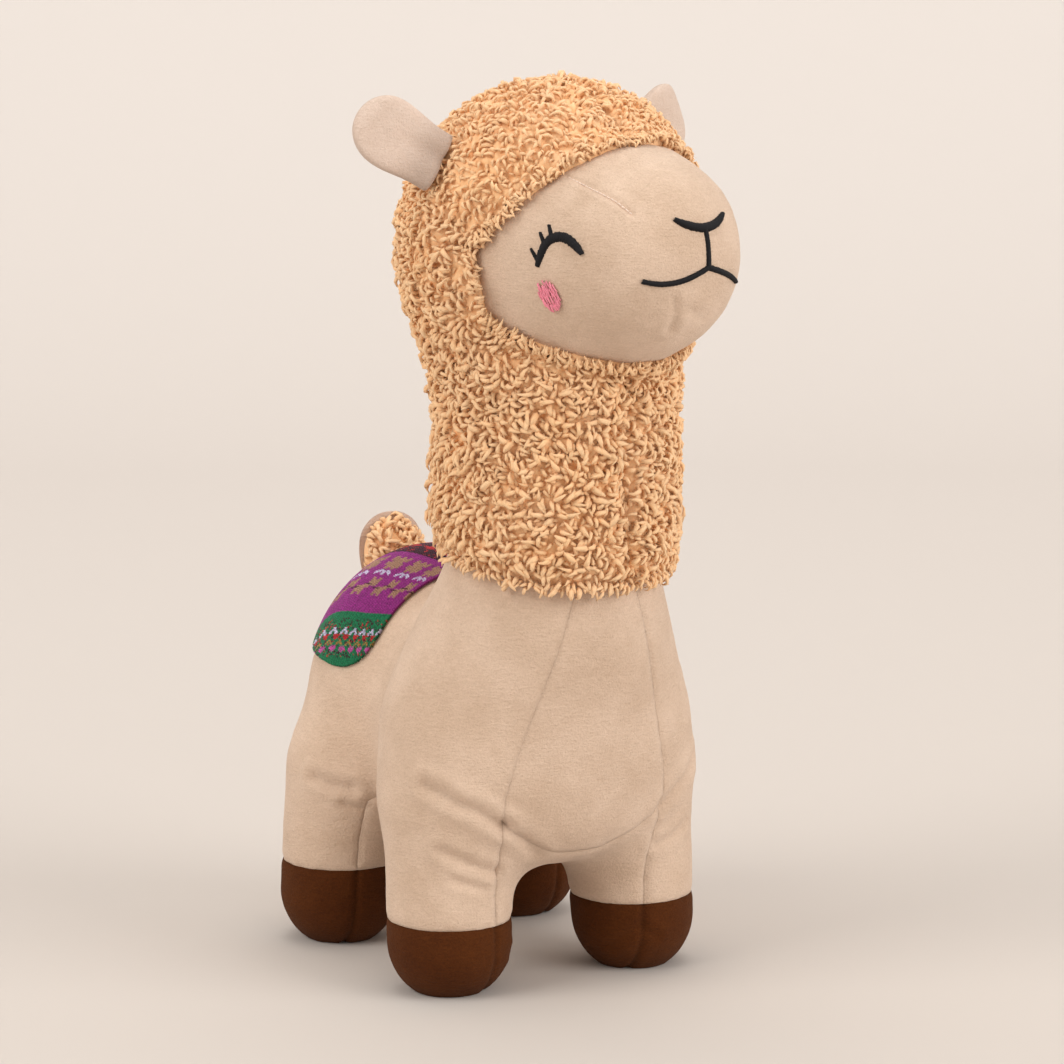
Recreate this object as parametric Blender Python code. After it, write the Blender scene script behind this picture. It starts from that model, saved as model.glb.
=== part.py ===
# Plush llama: a stuffed standing llama with a curly fleece over its neck and head.
# It faces -Y with its left side at +X and stands on Z = 0. Sizes here are in millimetres,
# and the meshes are made in metres.
#
# The sewn skin follows one smooth form, blended from ellipsoids and tapered limbs. Seam lines
# cut that form into the panels of the sewing pattern, each panel becomes a cloth of its own
# thickness, and the stuffing fills what the panels enclose.

import math

import bmesh
import bpy
import numpy as np
from mathutils import Matrix, noise

MM = 0.001

# Body
CHEST_Y = -36.0
CHEST_Z = 90.0
CHEST_HALF_WIDTH = 61.0
CHEST_HALF_LENGTH = 45.0
CHEST_HALF_HEIGHT = 60.0
RUMP_Y = 41.0
RUMP_Z = 91.0
RUMP_HALF_WIDTH = 49.5
RUMP_HALF_LENGTH = 41.0
RUMP_HALF_HEIGHT = 56.0
WAIST_Z = 88.0
WAIST_HALF_WIDTH = 37.0
WAIST_HALF_LENGTH = 50.0
WAIST_HALF_HEIGHT = 47.0
TORSO_BLEND = 20.0
BELLY_Z = 41.0
BELLY_BLEND = 24.0

# Legs
HIP_X = 37.0
HIP_Z = 66.0
HIP_RADIUS = 24.0
FRONT_HIP_Y = -38.0
REAR_HIP_Y = 41.0
FOOT_X = 39.0
FRONT_FOOT_Y = -40.5
REAR_FOOT_Y = 45.0
FOOT_RADIUS = 22.8
SOLE_RADIUS = 13.0
LEG_BLEND = 14.0
FRONT_HOOF_HEIGHT = 27.0
REAR_HOOF_HEIGHT = 31.0

# Neck and head
NECK_Y = -50.5
NECK_BASE_Z = 140.0
NECK_BASE_RADIUS = 38.0
NECK_TOP_Z = 250.0
NECK_TOP_RADIUS = 35.5
NECK_BLEND = 29.0
HEAD_Z = 277.0
HEAD_RADIUS = 48.7
HEAD_HALF_HEIGHT = 47.8
HEAD_TURN = 12.5
HEAD_PITCH = 9.0
MUZZLE_REACH = 36.5
MUZZLE_DROP = 11.0
MUZZLE_HALF_WIDTH = 39.0
MUZZLE_HALF_LENGTH = 40.0
MUZZLE_HALF_HEIGHT = 38.0
MUZZLE_BLEND = 14.0

# Cloths and seams
VELOUR = 2.2
PILE = 7.3
PILE_AT_HEM = 4.2
HEM_ROUNDING = 11.0
CURL_DEPTH = 2.4
CURL_SIZE = 8.5
SEAM_GAP = 0.32
FILLING_GAP = 0.3
FACET = 16.5
SNAP_SHARE = 0.3
CORNER_SNAP_SHARE = 0.12
HOLLOW_SHARE = 0.4

# Hairline and collar of the fleece
HAIRLINE_HALF_WIDTH = 49.0
HAIRLINE_HALF_HEIGHT = 38.5
HAIRLINE_DROP = 11.5
HAIRLINE_BACK = 8.0
COLLAR_Z = 154.5
COLLAR_RISE = 0.18
MANE_SEAM_TURN = 6.5

# Panel seams of the body
CHEST_SEAM_TOP = 12.0
CHEST_SEAM_WIDE = 33.5
CHEST_SEAM_WIDE_Z = 80.0
FRONT_LEG_SEAM = 31.0
REAR_LEG_SEAM = 44.0
WAIST_SEAM = 33.0
REAR_SEAM_TOP_Z = 122.0
SEAM_SHIFT_Y = 22.0
CHEST_POINT_Z = 51.5
CHEST_CORNER_Z = 65.0

# Ears, on the head's own axes: +X is its left, -Y its front
EAR_SIDE = 52.0
EAR_BACK = 5.0
EAR_UP = 30.0
EAR_LENGTH = 33.0
EAR_WIDTH = 28.5
EAR_ROOT_WIDTH = 22.0
EAR_THICKNESS = 7.0
EAR_CUP = 4.0
EAR_SWING = 18.0
RIGHT_EAR_LIFT = 34.0
LEFT_EAR_LIFT = 22.0
EAR_SEAT = 0.7

# Tail
TAIL_ROOT_Z = 124.0
TAIL_LENGTH = 29.0
TAIL_ROOT_WIDTH = 23.0
TAIL_WIDTH = 27.5
TAIL_FLEECE = 11.0
TAIL_BACK_CLOTH = 3.0
TAIL_LEAN = 4.0
TAIL_SHARES = (0.0, 0.2, 0.4, 0.6, 0.76, 0.88, 0.96)
TAIL_SEAT = 1.0

# Blanket
BLANKET_Y = 38.0
BLANKET_WIDTH = 48.0
BLANKET_HANG_Z = 109.0
BLANKET_CORNER = 24.0
BLANKET_CLOTH = 1.4
BLANKET_LIFT = 0.7
BLANKET_END_SHARE = 0.35
BLANKET_ROWS = 23
BLANKET_COLUMNS = 7

# Stitched face: places as turn from the face's middle in degrees and height above the head's centre
STITCH_WIDTH = 3.2
STITCH_HEIGHT = 0.9
STITCH_LIFT = 0.45
CROSSING_LIFT = 0.05
EYE_TURN = 42.8
EYE_SPREAD = 7.8
EYE_Z = -10.6
EYE_RISE = 8.0
EYE_TILT = 1.2
EYE_ARCH = 2.3
LASH_LENGTH = 4.8
LASH_PLACES = (-0.92, -0.52, -0.16)
LASH_LEANS = (-0.5, -0.28, -0.12)
CHEEK_TURN = 48.7
CHEEK_Z = -22.3
CHEEK_LENGTH = 11.5
CHEEK_WIDTH = 8.5
CHEEK_TILT = 35.0
NOSE_TURN = 9.0
NOSE_Z = -0.7
NOSE_DIP = 4.0
LIP_Z = -18.5
MOUTH_TURN_RIGHT = 19.5
MOUTH_TURN_LEFT = 16.5
MOUTH_DIP = 4.5
MOUTH_END_RISE = 0.9
MOUTH_FALL_LEFT = 6.0

COLOURS = {
    "filling": (0.90, 0.88, 0.84, 0.95),
    "cream": (0.72, 0.54, 0.41, 0.90),
    "brown": (0.075, 0.020, 0.006, 0.92),
    "fleece": (0.68, 0.38, 0.19, 0.97),
    "thread": (0.012, 0.008, 0.020, 0.55),
    "pink": (0.83, 0.25, 0.33, 0.60),
    "weave": (0.24, 0.05, 0.17, 0.90),
}


# Small helpers

def smooth_min(a, b, blend):
    """The lesser of two distances, rounded where they meet."""
    h = np.maximum(blend - np.abs(a - b), 0.0) / blend
    return np.minimum(a, b) - h * h * blend * 0.25


def smooth_max(a, b, blend):
    return -smooth_min(-a, -b, blend)


def ramp(x, start, end, low, high):
    """A smooth change from low at start to high at end."""
    t = np.clip((x - start) / (end - start), 0.0, 1.0)
    return low + (high - low) * t * t * (3.0 - 2.0 * t)


def unit(v):
    return v / np.maximum(np.linalg.norm(v, axis=-1, keepdims=True), 1e-9)


def ellipsoid(p, centre, radii):
    q = p - np.array(centre)
    near = np.linalg.norm(q / np.array(radii), axis=-1)
    slope = np.linalg.norm(q / np.array(radii) ** 2, axis=-1) + 1e-9
    return near * (near - 1.0) / slope


def limb(p, start, end, start_radius, end_radius):
    """A round limb that tapers from start to end."""
    start = np.array(start)
    way = np.array(end) - start
    t = np.clip(((p - start) @ way) / (way @ way), 0.0, 1.0)
    off = np.linalg.norm(p - start - t[:, None] * way, axis=-1)
    return off - (start_radius + (end_radius - start_radius) * t)


# The form of the sewn skin

def turned(p, degrees):
    """Points seen from the neck's axis, with -Y turned by degrees towards the llama's left."""
    angle = math.radians(-degrees)
    x = p[:, 0]
    y = p[:, 1] - NECK_Y
    c = math.cos(angle)
    s = math.sin(angle)
    return np.stack([x * c - y * s, x * s + y * c, p[:, 2]], -1)


def to_head(p):
    """World points on the head's own axes, from the head's centre."""
    q = turned(p, HEAD_TURN)
    c = math.cos(math.radians(HEAD_PITCH))
    s = math.sin(math.radians(HEAD_PITCH))
    z = q[:, 2] - HEAD_Z
    return np.stack([q[:, 0], q[:, 1] * c - z * s, q[:, 1] * s + z * c], -1)


def from_head(q):
    """Points on the head's own axes, back in the world."""
    c = math.cos(math.radians(HEAD_PITCH))
    s = math.sin(math.radians(HEAD_PITCH))
    y = q[:, 1] * c + q[:, 2] * s
    z = q[:, 2] * c - q[:, 1] * s + HEAD_Z
    a = math.radians(HEAD_TURN)
    x = q[:, 0] * math.cos(a) - y * math.sin(a)
    return np.stack([x, q[:, 0] * math.sin(a) + y * math.cos(a) + NECK_Y, z], -1)


def column(p):
    """Neck and head without the muzzle: what the fleece lies on."""
    neck = limb(turned(p, 0.0), (0, 0, NECK_BASE_Z), (0, 0, NECK_TOP_Z), NECK_BASE_RADIUS, NECK_TOP_RADIUS)
    head = ellipsoid(to_head(p), (0, 0, 0), (HEAD_RADIUS, HEAD_RADIUS, HEAD_HALF_HEIGHT))
    return smooth_min(neck, head, NECK_BLEND)


def skin(p):
    """Distance to the outer face of the sewn skin, without the fleece's pile."""
    m = np.stack([np.abs(p[:, 0]), p[:, 1], p[:, 2]], -1)
    chest = ellipsoid(m, (0, CHEST_Y, CHEST_Z), (CHEST_HALF_WIDTH, CHEST_HALF_LENGTH, CHEST_HALF_HEIGHT))
    rump = ellipsoid(m, (0, RUMP_Y, RUMP_Z), (RUMP_HALF_WIDTH, RUMP_HALF_LENGTH, RUMP_HALF_HEIGHT))
    waist = ellipsoid(m, (0, 0, WAIST_Z), (WAIST_HALF_WIDTH, WAIST_HALF_LENGTH, WAIST_HALF_HEIGHT))
    torso = smooth_min(smooth_min(chest, rump, TORSO_BLEND), waist, TORSO_BLEND)
    torso = smooth_max(torso, BELLY_Z - m[:, 2], BELLY_BLEND)
    body = torso
    for hip_y, foot_y in ((FRONT_HIP_Y, FRONT_FOOT_Y), (REAR_HIP_Y, REAR_FOOT_Y)):
        leg = limb(m, (HIP_X, hip_y, HIP_Z), (FOOT_X, foot_y, foot_centre_z()), HIP_RADIUS, FOOT_RADIUS)
        body = smooth_min(body, leg, LEG_BLEND)
    muzzle = ellipsoid(
        to_head(p),
        (0, -MUZZLE_REACH, -MUZZLE_DROP),
        (MUZZLE_HALF_WIDTH, MUZZLE_HALF_LENGTH, MUZZLE_HALF_HEIGHT),
    )
    upper = smooth_min(column(p), muzzle, MUZZLE_BLEND)
    return np.maximum(smooth_min(body, upper, NECK_BLEND), -p[:, 2])


def foot_centre_z():
    """The round foot is cut flat where its section is as wide as the sole."""
    return math.sqrt(FOOT_RADIUS ** 2 - SOLE_RADIUS ** 2)


def slope(field, p, step=0.4):
    """Gradient of a field, by central differences."""
    columns = []
    for axis in range(3):
        shift = np.zeros(3)
        shift[axis] = step
        columns.append((field(p + shift) - field(p - shift)) / (2.0 * step))
    return np.stack(columns, -1)


def facing(a, b, c):
    """Which way the triangles a, b, c face."""
    return unit(np.cross(b - a, c - a))


def least_angle(a, b, c):
    """The smallest angle of each triangle a, b, c, in degrees."""
    sides = [unit(b - a), unit(c - b), unit(a - c)]
    turns = [-(sides[k] * sides[k - 1]).sum(-1) for k in range(3)]
    return np.degrees(np.arccos(np.clip(np.max(turns, axis=0), -1.0, 1.0)))


def settle(p, field, level=0.0, rounds=6):
    """Points moved onto the face where the field has this level."""
    for _ in range(rounds):
        g = slope(field, p)
        move = (field(p) - level)[:, None] * g / np.maximum((g * g).sum(-1, keepdims=True), 1e-6)
        length = np.linalg.norm(move, axis=-1, keepdims=True)
        p = p - move * np.minimum(1.0, 6.0 / np.maximum(length, 1e-9))
    return p


def seat_along(start, direction, field, level):
    """Points slid along one direction onto the face where the field has this level."""
    p = start.copy()
    for _ in range(30):
        p = p - (field(p) - level)[:, None] * direction * 0.8
    return p


# Seams, as functions that are nought on the line where two panels meet

def hoof_seam(p):
    return np.where(p[:, 1] < 0.0, FRONT_HOOF_HEIGHT, REAR_HOOF_HEIGHT) - p[:, 2]


def sole_edge(p):
    foot_y = np.where(p[:, 1] < 0.0, FRONT_FOOT_Y, REAR_FOOT_Y)
    reach = np.hypot(np.abs(p[:, 0]) - FOOT_X, p[:, 1] - foot_y)
    return np.where(p[:, 2] < foot_centre_z() * 0.5, SOLE_RADIUS - reach, -1.0)


def collar_seam(p):
    return p[:, 2] - COLLAR_Z - COLLAR_RISE * (p[:, 1] - NECK_Y + NECK_BASE_RADIUS)


def hairline(p):
    q = to_head(p)
    around = np.hypot(q[:, 0] / HAIRLINE_HALF_WIDTH, (q[:, 2] + HAIRLINE_DROP) / HAIRLINE_HALF_HEIGHT)
    return np.minimum((1.0 - around) * HAIRLINE_HALF_HEIGHT, -q[:, 1] - HAIRLINE_BACK)


def mane_seam(p):
    return turned(p, MANE_SEAM_TURN)[:, 0]


def spine_seam(p):
    return p[:, 0]


def gusset_seam(p):
    """Positive inside the chest and belly panels, between the side panels."""
    z = p[:, 2]
    taper = np.clip((z - CHEST_SEAM_WIDE_Z) / (COLLAR_Z - CHEST_SEAM_WIDE_Z), 0.0, 1.3)
    low = ramp(z, FRONT_HOOF_HEIGHT, CHEST_SEAM_WIDE_Z, FRONT_LEG_SEAM, CHEST_SEAM_WIDE)
    front = np.where(z < CHEST_SEAM_WIDE_Z, low, CHEST_SEAM_WIDE + (CHEST_SEAM_TOP - CHEST_SEAM_WIDE) * taper)
    middle = ramp(z, BELLY_Z + BELLY_BLEND, WAIST_Z, WAIST_SEAM, -WAIST_SEAM)
    rear = ramp(z, HIP_Z, REAR_SEAM_TOP_Z, REAR_LEG_SEAM, 0.0) - np.maximum(z - REAR_SEAM_TOP_Z, 0.0)
    toward_front = ramp(p[:, 1], -SEAM_SHIFT_Y, 0.0, 1.0, 0.0)
    toward_rear = ramp(p[:, 1], 0.0, SEAM_SHIFT_Y, 0.0, 1.0)
    width = middle + (front - middle) * toward_front + (rear - middle) * toward_rear
    return width - np.abs(p[:, 0])


def chest_seam(p):
    """Positive above the curved lower edge of the chest panel."""
    across = np.abs(p[:, 0]) / FRONT_LEG_SEAM
    edge = CHEST_POINT_Z + (CHEST_CORNER_Z - CHEST_POINT_Z) * across ** 2
    return np.minimum(p[:, 2] - edge, CHEST_Y - p[:, 1])


# A mesh whose faces are named by the panel that they belong to

class Skin:
    def __init__(self, points, faces):
        self.points = np.array(points)
        self.faces = [tuple(f) for f in faces]
        self.panels = ["skin"] * len(self.faces)
        self.lines = [[] for _ in self.points]

    def corners(self, names):
        chosen = [f for f, name in zip(self.faces, self.panels) if name in names]
        return sorted({v for f in chosen for v in f})

    def on_line(self, index, seam):
        """Slide points along the skin, and along the seams that they are on, to this seam."""
        p = self.points[index]
        for _ in range(5):
            p = settle(p, skin, rounds=2)
            n = unit(slope(skin, p))
            g = slope(seam, p)
            g = g - (g * n).sum(-1, keepdims=True) * n
            for k, i in enumerate(index):
                for other in self.lines[i]:
                    if other is seam:
                        continue
                    o = slope(other, p[k:k + 1])[0]
                    o = o - (o @ n[k]) * n[k]
                    o = o / max(np.linalg.norm(o), 1e-6)
                    g[k] = g[k] - (g[k] @ o) * o
            size = np.maximum((g * g).sum(-1, keepdims=True), 0.04)
            move = seam(p)[:, None] * g / size
            length = np.linalg.norm(move, axis=-1, keepdims=True)
            p = p - move * np.minimum(1.0, 3.0 / np.maximum(length, 1e-9))
        self.points[index] = p

    def cut(self, names, seam, inside):
        """Part the named panels along a seam, and name what lies on its positive side."""
        index = self.corners(names)
        p = self.points[index]
        n = unit(slope(skin, p))
        g = slope(seam, p)
        g = g - (g * n).sum(-1, keepdims=True) * n
        steep = np.maximum(np.linalg.norm(g, axis=-1), 0.2)
        value = np.zeros(len(self.points))
        value[index] = seam(p)
        away = np.abs(value[index]) / steep
        around = {v: [] for v in index}
        for face, name in zip(self.faces, self.panels):
            if name in names:
                for v in face:
                    around[v].append(face)
        snapped = []
        gap = dict(zip(index, value[index] / steep))
        for d, v in sorted(zip(away, index)):
            share = CORNER_SNAP_SHARE if self.lines[v] else SNAP_SHARE
            if d < share * FACET and not self.would_crush(v, around[v], gap, snapped):
                snapped.append(v)
        if snapped:
            self.on_line(snapped, seam)
            value[snapped] = 0.0
            for v in snapped:
                self.lines[v].append(seam)
        self.flip_edges()
        crossed = set()
        for face, name in zip(self.faces, self.panels):
            if name in names:
                for a, b in ((0, 1), (1, 2), (2, 0)):
                    if value[face[a]] * value[face[b]] < 0.0:
                        crossed.add(tuple(sorted((face[a], face[b]))))
        middle = self.add_middles(sorted(crossed), value, seam)
        value = np.concatenate([value, np.zeros(len(middle))])
        self.split_faces(middle)
        for i, face in enumerate(self.faces):
            if self.panels[i] in names and value[list(face)].sum() > 0.0:
                self.panels[i] = inside
        self.flip_edges()

    def would_crush(self, v, faces, gap, snapped):
        """Whether moving v to the seam flattens a face or meets a point from the other side."""
        for face in faces:
            taken = [w for w in face if w in snapped]
            across = any(abs(gap[v] - gap[w]) > 0.4 * self.distance(v, w) for w in taken)
            if len(taken) == 2 or across:
                return True
        return False

    def flip_edges(self):
        """Turn edges inside the panels where that gives rounder faces."""
        for _ in range(4):
            beside = {}
            for i, face in enumerate(self.faces):
                for k in range(3):
                    beside.setdefault(tuple(sorted((face[k], face[(k + 1) % 3]))), []).append(i)
            pairs = []
            for (a, b), (i, j) in sorted(beside.items()):
                sewn = any(line in self.lines[b] for line in self.lines[a])
                if sewn or self.panels[i] != self.panels[j]:
                    continue
                if (a, b) not in ((self.faces[i][k], self.faces[i][(k + 1) % 3]) for k in range(3)):
                    i, j = j, i
                c = next(v for v in self.faces[i] if v not in (a, b))
                d = next(v for v in self.faces[j] if v not in (a, b))
                if tuple(sorted((c, d))) not in beside:
                    pairs.append((a, b, c, d, i, j))
            rows = np.array(pairs)
            a, b, c, d = (self.points[rows[:, k]] for k in range(4))
            now = np.minimum(least_angle(a, b, c), least_angle(b, a, d))
            then = np.minimum(least_angle(c, a, d), least_angle(c, d, b))
            up = unit(facing(a, b, c) + facing(b, a, d))
            level = np.minimum((facing(c, a, d) * up).sum(-1), (facing(c, d, b) * up).sum(-1))
            touched = set()
            for k in np.nonzero((then > now + 2.0) & (level > 0.6))[0]:
                a, b, c, d, i, j = pairs[k]
                if i not in touched and j not in touched:
                    self.faces[i] = (c, a, d)
                    self.faces[j] = (c, d, b)
                    touched.update((i, j))
            if not touched:
                break

    def add_middles(self, crossed, value, seam):
        """A new point on the seam for each edge that the seam crosses."""
        first = len(self.points)
        middle = {}
        added = []
        for k, (a, b) in enumerate(crossed):
            share = value[a] / (value[a] - value[b])
            added.append(self.points[a] * (1 - share) + self.points[b] * share)
            self.lines.append([line for line in self.lines[a] if line in self.lines[b]])
            middle[(a, b)] = first + k
        if added:
            self.points = np.vstack([self.points, added])
            new = list(range(first, first + len(added)))
            self.on_line(new, seam)
            for v in new:
                self.lines[v].append(seam)
        return middle

    def split_faces(self, middle):
        faces = []
        panels = []
        for face, name in zip(self.faces, self.panels):
            cuts = [middle.get(tuple(sorted((face[k], face[(k + 1) % 3])))) for k in range(3)]
            count = sum(c is not None for c in cuts)
            if count == 0:
                parts = [face]
            elif count == 1:
                k = next(k for k in range(3) if cuts[k] is not None)
                a, b, c = face[k], face[(k + 1) % 3], face[(k + 2) % 3]
                parts = [(a, cuts[k], c), (cuts[k], b, c)]
            elif count == 2:
                k = next(k for k in range(3) if cuts[k] is not None and cuts[k - 1] is not None)
                a, b, c = face[k], face[(k + 1) % 3], face[(k + 2) % 3]
                m, n = cuts[k], cuts[k - 1]
                short = self.distance(m, c) < self.distance(n, b)
                parts = [(a, m, n)] + ([(m, b, c), (m, c, n)] if short else [(m, b, n), (b, c, n)])
            else:
                a, b, c = face
                parts = [(a, cuts[0], cuts[2]), (b, cuts[1], cuts[0]), (c, cuts[2], cuts[1]), tuple(cuts)]
            faces += parts
            panels += [name] * len(parts)
        self.faces = faces
        self.panels = panels

    def distance(self, a, b):
        return np.linalg.norm(self.points[a] - self.points[b])

    def normals(self):
        """Normals at the points, from the faces around each."""
        f = np.array(self.faces)
        p = self.points
        out = np.zeros_like(p)
        for k in range(3):
            here = p[f[:, k]]
            ahead = unit(p[f[:, (k + 1) % 3]] - here)
            behind = unit(p[f[:, (k + 2) % 3]] - here)
            angle = np.arccos(np.clip((ahead * behind).sum(-1), -1, 1))
            cross = unit(np.cross(ahead, behind))
            np.add.at(out, f[:, k], cross * angle[:, None])
        return unit(out)


# Base mesh of the form

def add_ball(bm, centre, radii, head=False):
    matrix = Matrix.Translation(centre) @ Matrix.Diagonal((*radii, 1.0))
    made = bmesh.ops.create_uvsphere(bm, u_segments=24, v_segments=16, radius=1.0, matrix=matrix)
    if head:
        points = from_head(np.array([v.co for v in made["verts"]]))
        for v, p in zip(made["verts"], points):
            v.co = p


def add_limb(bm, start, end, start_radius, end_radius):
    start = np.array(start)
    way = np.array(end) - start
    length = float(np.linalg.norm(way))
    tilt = Matrix.Identity(4)
    z = way / length
    x = unit(np.cross((0.0, 1.0, 0.0), z))
    y = np.cross(z, x)
    for k in range(3):
        tilt[k][0] = x[k]
        tilt[k][1] = y[k]
        tilt[k][2] = z[k]
    matrix = Matrix.Translation(start + way / 2) @ tilt
    bmesh.ops.create_cone(
        bm, cap_ends=True, segments=24, radius1=start_radius, radius2=end_radius, depth=length, matrix=matrix
    )
    add_ball(bm, start, (start_radius,) * 3)
    add_ball(bm, end, (end_radius,) * 3)


def base_form():
    """One closed mesh of even facets, from the rough solids of the form."""
    bm = bmesh.new()
    add_ball(bm, (0, CHEST_Y, CHEST_Z), (CHEST_HALF_WIDTH, CHEST_HALF_LENGTH, CHEST_Z - BELLY_Z))
    add_ball(bm, (0, RUMP_Y, RUMP_Z), (RUMP_HALF_WIDTH, RUMP_HALF_LENGTH, RUMP_Z - BELLY_Z))
    add_ball(bm, (0, 0, WAIST_Z), (WAIST_HALF_WIDTH, WAIST_HALF_LENGTH, WAIST_HALF_HEIGHT))
    for side in (-1, 1):
        for hip_y, foot_y in ((FRONT_HIP_Y, FRONT_FOOT_Y), (REAR_HIP_Y, REAR_FOOT_Y)):
            hip = (side * HIP_X, hip_y, HIP_Z)
            foot = (side * FOOT_X, foot_y, foot_centre_z())
            add_limb(bm, hip, foot, HIP_RADIUS, FOOT_RADIUS)
    add_limb(bm, (0, NECK_Y, NECK_BASE_Z), (0, NECK_Y, NECK_TOP_Z), NECK_BASE_RADIUS, NECK_TOP_RADIUS)
    add_ball(bm, (0, 0, 0), (HEAD_RADIUS, HEAD_RADIUS, HEAD_HALF_HEIGHT), head=True)
    muzzle = (MUZZLE_HALF_WIDTH, MUZZLE_HALF_LENGTH, MUZZLE_HALF_HEIGHT)
    add_ball(bm, (0, -MUZZLE_REACH, -MUZZLE_DROP), muzzle, head=True)
    mesh = bpy.data.meshes.new("form")
    bm.to_mesh(mesh)
    bm.free()
    form = bpy.data.objects.new("form", mesh)
    bpy.context.scene.collection.objects.link(form)
    remesh = form.modifiers.new("even facets", "REMESH")
    remesh.mode = "VOXEL"
    remesh.voxel_size = FACET
    remesh.adaptivity = 0.0
    evaluated = form.evaluated_get(bpy.context.evaluated_depsgraph_get())
    bm = bmesh.new()
    bm.from_mesh(evaluated.to_mesh())
    bpy.data.objects.remove(form)
    edges = np.array([[v.index for v in e.verts] for e in bm.edges])
    points = relaxed(np.array([v.co for v in bm.verts]), edges)
    for v, p in zip(bm.verts, points):
        v.co = p
    bmesh.ops.triangulate(bm, faces=bm.faces, quad_method="SHORT_EDGE")
    faces = [tuple(v.index for v in f.verts) for f in bm.faces]
    bm.free()
    return Skin(points, faces)


def relaxed(points, edges):
    """Points spread evenly over the skin."""
    count = np.zeros(len(points))
    for k in range(2):
        np.add.at(count, edges[:, k], 1.0)
    points = settle(points, skin, rounds=8)
    for _ in range(12):
        total = np.zeros_like(points)
        np.add.at(total, edges[:, 0], points[edges[:, 1]])
        np.add.at(total, edges[:, 1], points[edges[:, 0]])
        points = settle(0.4 * points + 0.6 * total / count[:, None], skin, rounds=3)
    return points


def cut_pattern(form):
    """The sewing pattern: every seam of the skin."""
    form.cut(["skin"], collar_seam, "mane_right")
    form.cut(["mane_right"], hairline, "face_panel")
    form.cut(["mane_right"], mane_seam, "mane_left")
    form.cut(["skin"], hoof_seam, "hoof")
    form.cut(["hoof"], sole_edge, "sole")
    form.cut(["skin"], gusset_seam, "belly_panel")
    form.cut(["belly_panel"], chest_seam, "chest_panel")
    form.cut(["skin"], spine_seam, "body_side_left")
    soles = form.corners(["sole"])
    form.points[soles, 2] = 0.0
    for i, name in enumerate(form.panels):
        x, y = form.points[list(form.faces[i])].mean(0)[:2]
        if name in ("hoof", "sole"):
            form.panels[i] = f"hoof_{'front' if y < 0 else 'rear'}_{'right' if x < 0 else 'left'}"
        elif name == "skin":
            form.panels[i] = "body_side_right"


# Cloths

def pile_height(p):
    """How high the fleece stands over the skin, with its curls."""
    collar = collar_seam(p)
    face = -hairline(p)
    edge = np.minimum(collar, face)
    height = ramp(edge, 0.0, HEM_ROUNDING, PILE_AT_HEM, PILE)
    clear = np.ones(len(p))
    for side in (-1, 1):
        root = from_head(np.array([[side * EAR_SIDE, EAR_BACK, EAR_UP]]))[0]
        reach = np.linalg.norm(p - root, axis=-1)
        clear = np.minimum(clear, ramp(reach, 0.75 * EAR_WIDTH, EAR_WIDTH, 0.0, 1.0))
    curls = np.array([noise.noise(q / CURL_SIZE) for q in p])
    return height + CURL_DEPTH * curls * clear * ramp(edge, 0.0, HEM_ROUNDING, 0.3, 1.0)


def bare(p):
    return np.zeros(len(p))


def panel_mesh(form, normals, name, height):
    """One panel as a closed cloth: its outer face is finer than its inner one."""
    faces = [f for f, panel in zip(form.faces, form.panels) if panel == name]
    used = sorted({v for f in faces for v in f})
    p = form.points
    pairs = {(f[k], f[(k + 1) % 3]) for f in faces for k in range(3)}
    rim = [(a, b) for a, b in pairs if (b, a) not in pairs]
    rim.sort()
    draw = {v: np.zeros(3) for v in used}
    inward = {}
    for a, b in rim:
        n = unit(normals[a] + normals[b])
        inward[(a, b)] = unit(np.cross(n, p[b] - p[a]))
        draw[a] = draw[a] + inward[(a, b)]
        draw[b] = draw[b] + inward[(a, b)]
    moved = {}
    for v in used:
        size = np.linalg.norm(draw[v])
        pull = draw[v] / size * (SEAM_GAP / max(size, 1.0)) if size > 0.0 else 0.0
        moved[v] = p[v] + pull
    middles = {}
    for a, b in pairs:
        key = (min(a, b), max(a, b))
        if key in middles:
            continue
        middles[key] = (p[a] + p[b]) / 2
    keys = sorted(middles)
    settled = settle(np.array([middles[k] for k in keys]), skin, rounds=3)
    for i, (a, b) in enumerate(keys):
        chord = middles[keys[i]]
        n = unit(normals[a] + normals[b])
        sunk = (settled[i] - chord) @ n
        if p[a][2] < 1e-6 and p[b][2] < 1e-6:
            settled[i] = chord
        elif sunk < -HOLLOW_SHARE * VELOUR:
            settled[i] = settled[i] - n * (sunk + HOLLOW_SHARE * VELOUR)
    middle_at = {}
    for key, q in zip(keys, settled):
        for way in (key, key[::-1]):
            if way in inward:
                q = q + inward[way] * SEAM_GAP / 2
        middle_at[key] = q
    outer_points = [moved[v] for v in used] + [middle_at[k] for k in keys]
    outer_normals = [normals[v] for v in used] + [unit(normals[a] + normals[b]) for a, b in keys]
    outer = np.array(outer_points)
    outer = outer + np.array(outer_normals) * height(outer)[:, None]
    inner = np.array([moved[v] - normals[v] * VELOUR for v in used])
    points = np.vstack([outer, inner])
    at = {v: i for i, v in enumerate(used)}
    mid = {k: len(used) + i for i, k in enumerate(keys)}
    low = {v: len(outer) + i for i, v in enumerate(used)}

    def m(a, b):
        return mid[(min(a, b), max(a, b))]

    mesh_faces = []
    for a, b, c in faces:
        ab, bc, ca = m(a, b), m(b, c), m(c, a)
        mesh_faces += [(at[a], ab, ca), (at[b], bc, ab), (at[c], ca, bc), (ab, bc, ca)]
        mesh_faces.append((low[a], low[c], low[b]))
    for a, b in rim:
        ab = m(a, b)
        mesh_faces += [(ab, at[a], low[a]), (ab, low[a], low[b]), (ab, low[b], at[b])]
    return points, mesh_faces


def filling_mesh(form, normals):
    points = form.points - normals * (VELOUR + FILLING_GAP)
    return points, form.faces


# Sewn-on pieces

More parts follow.
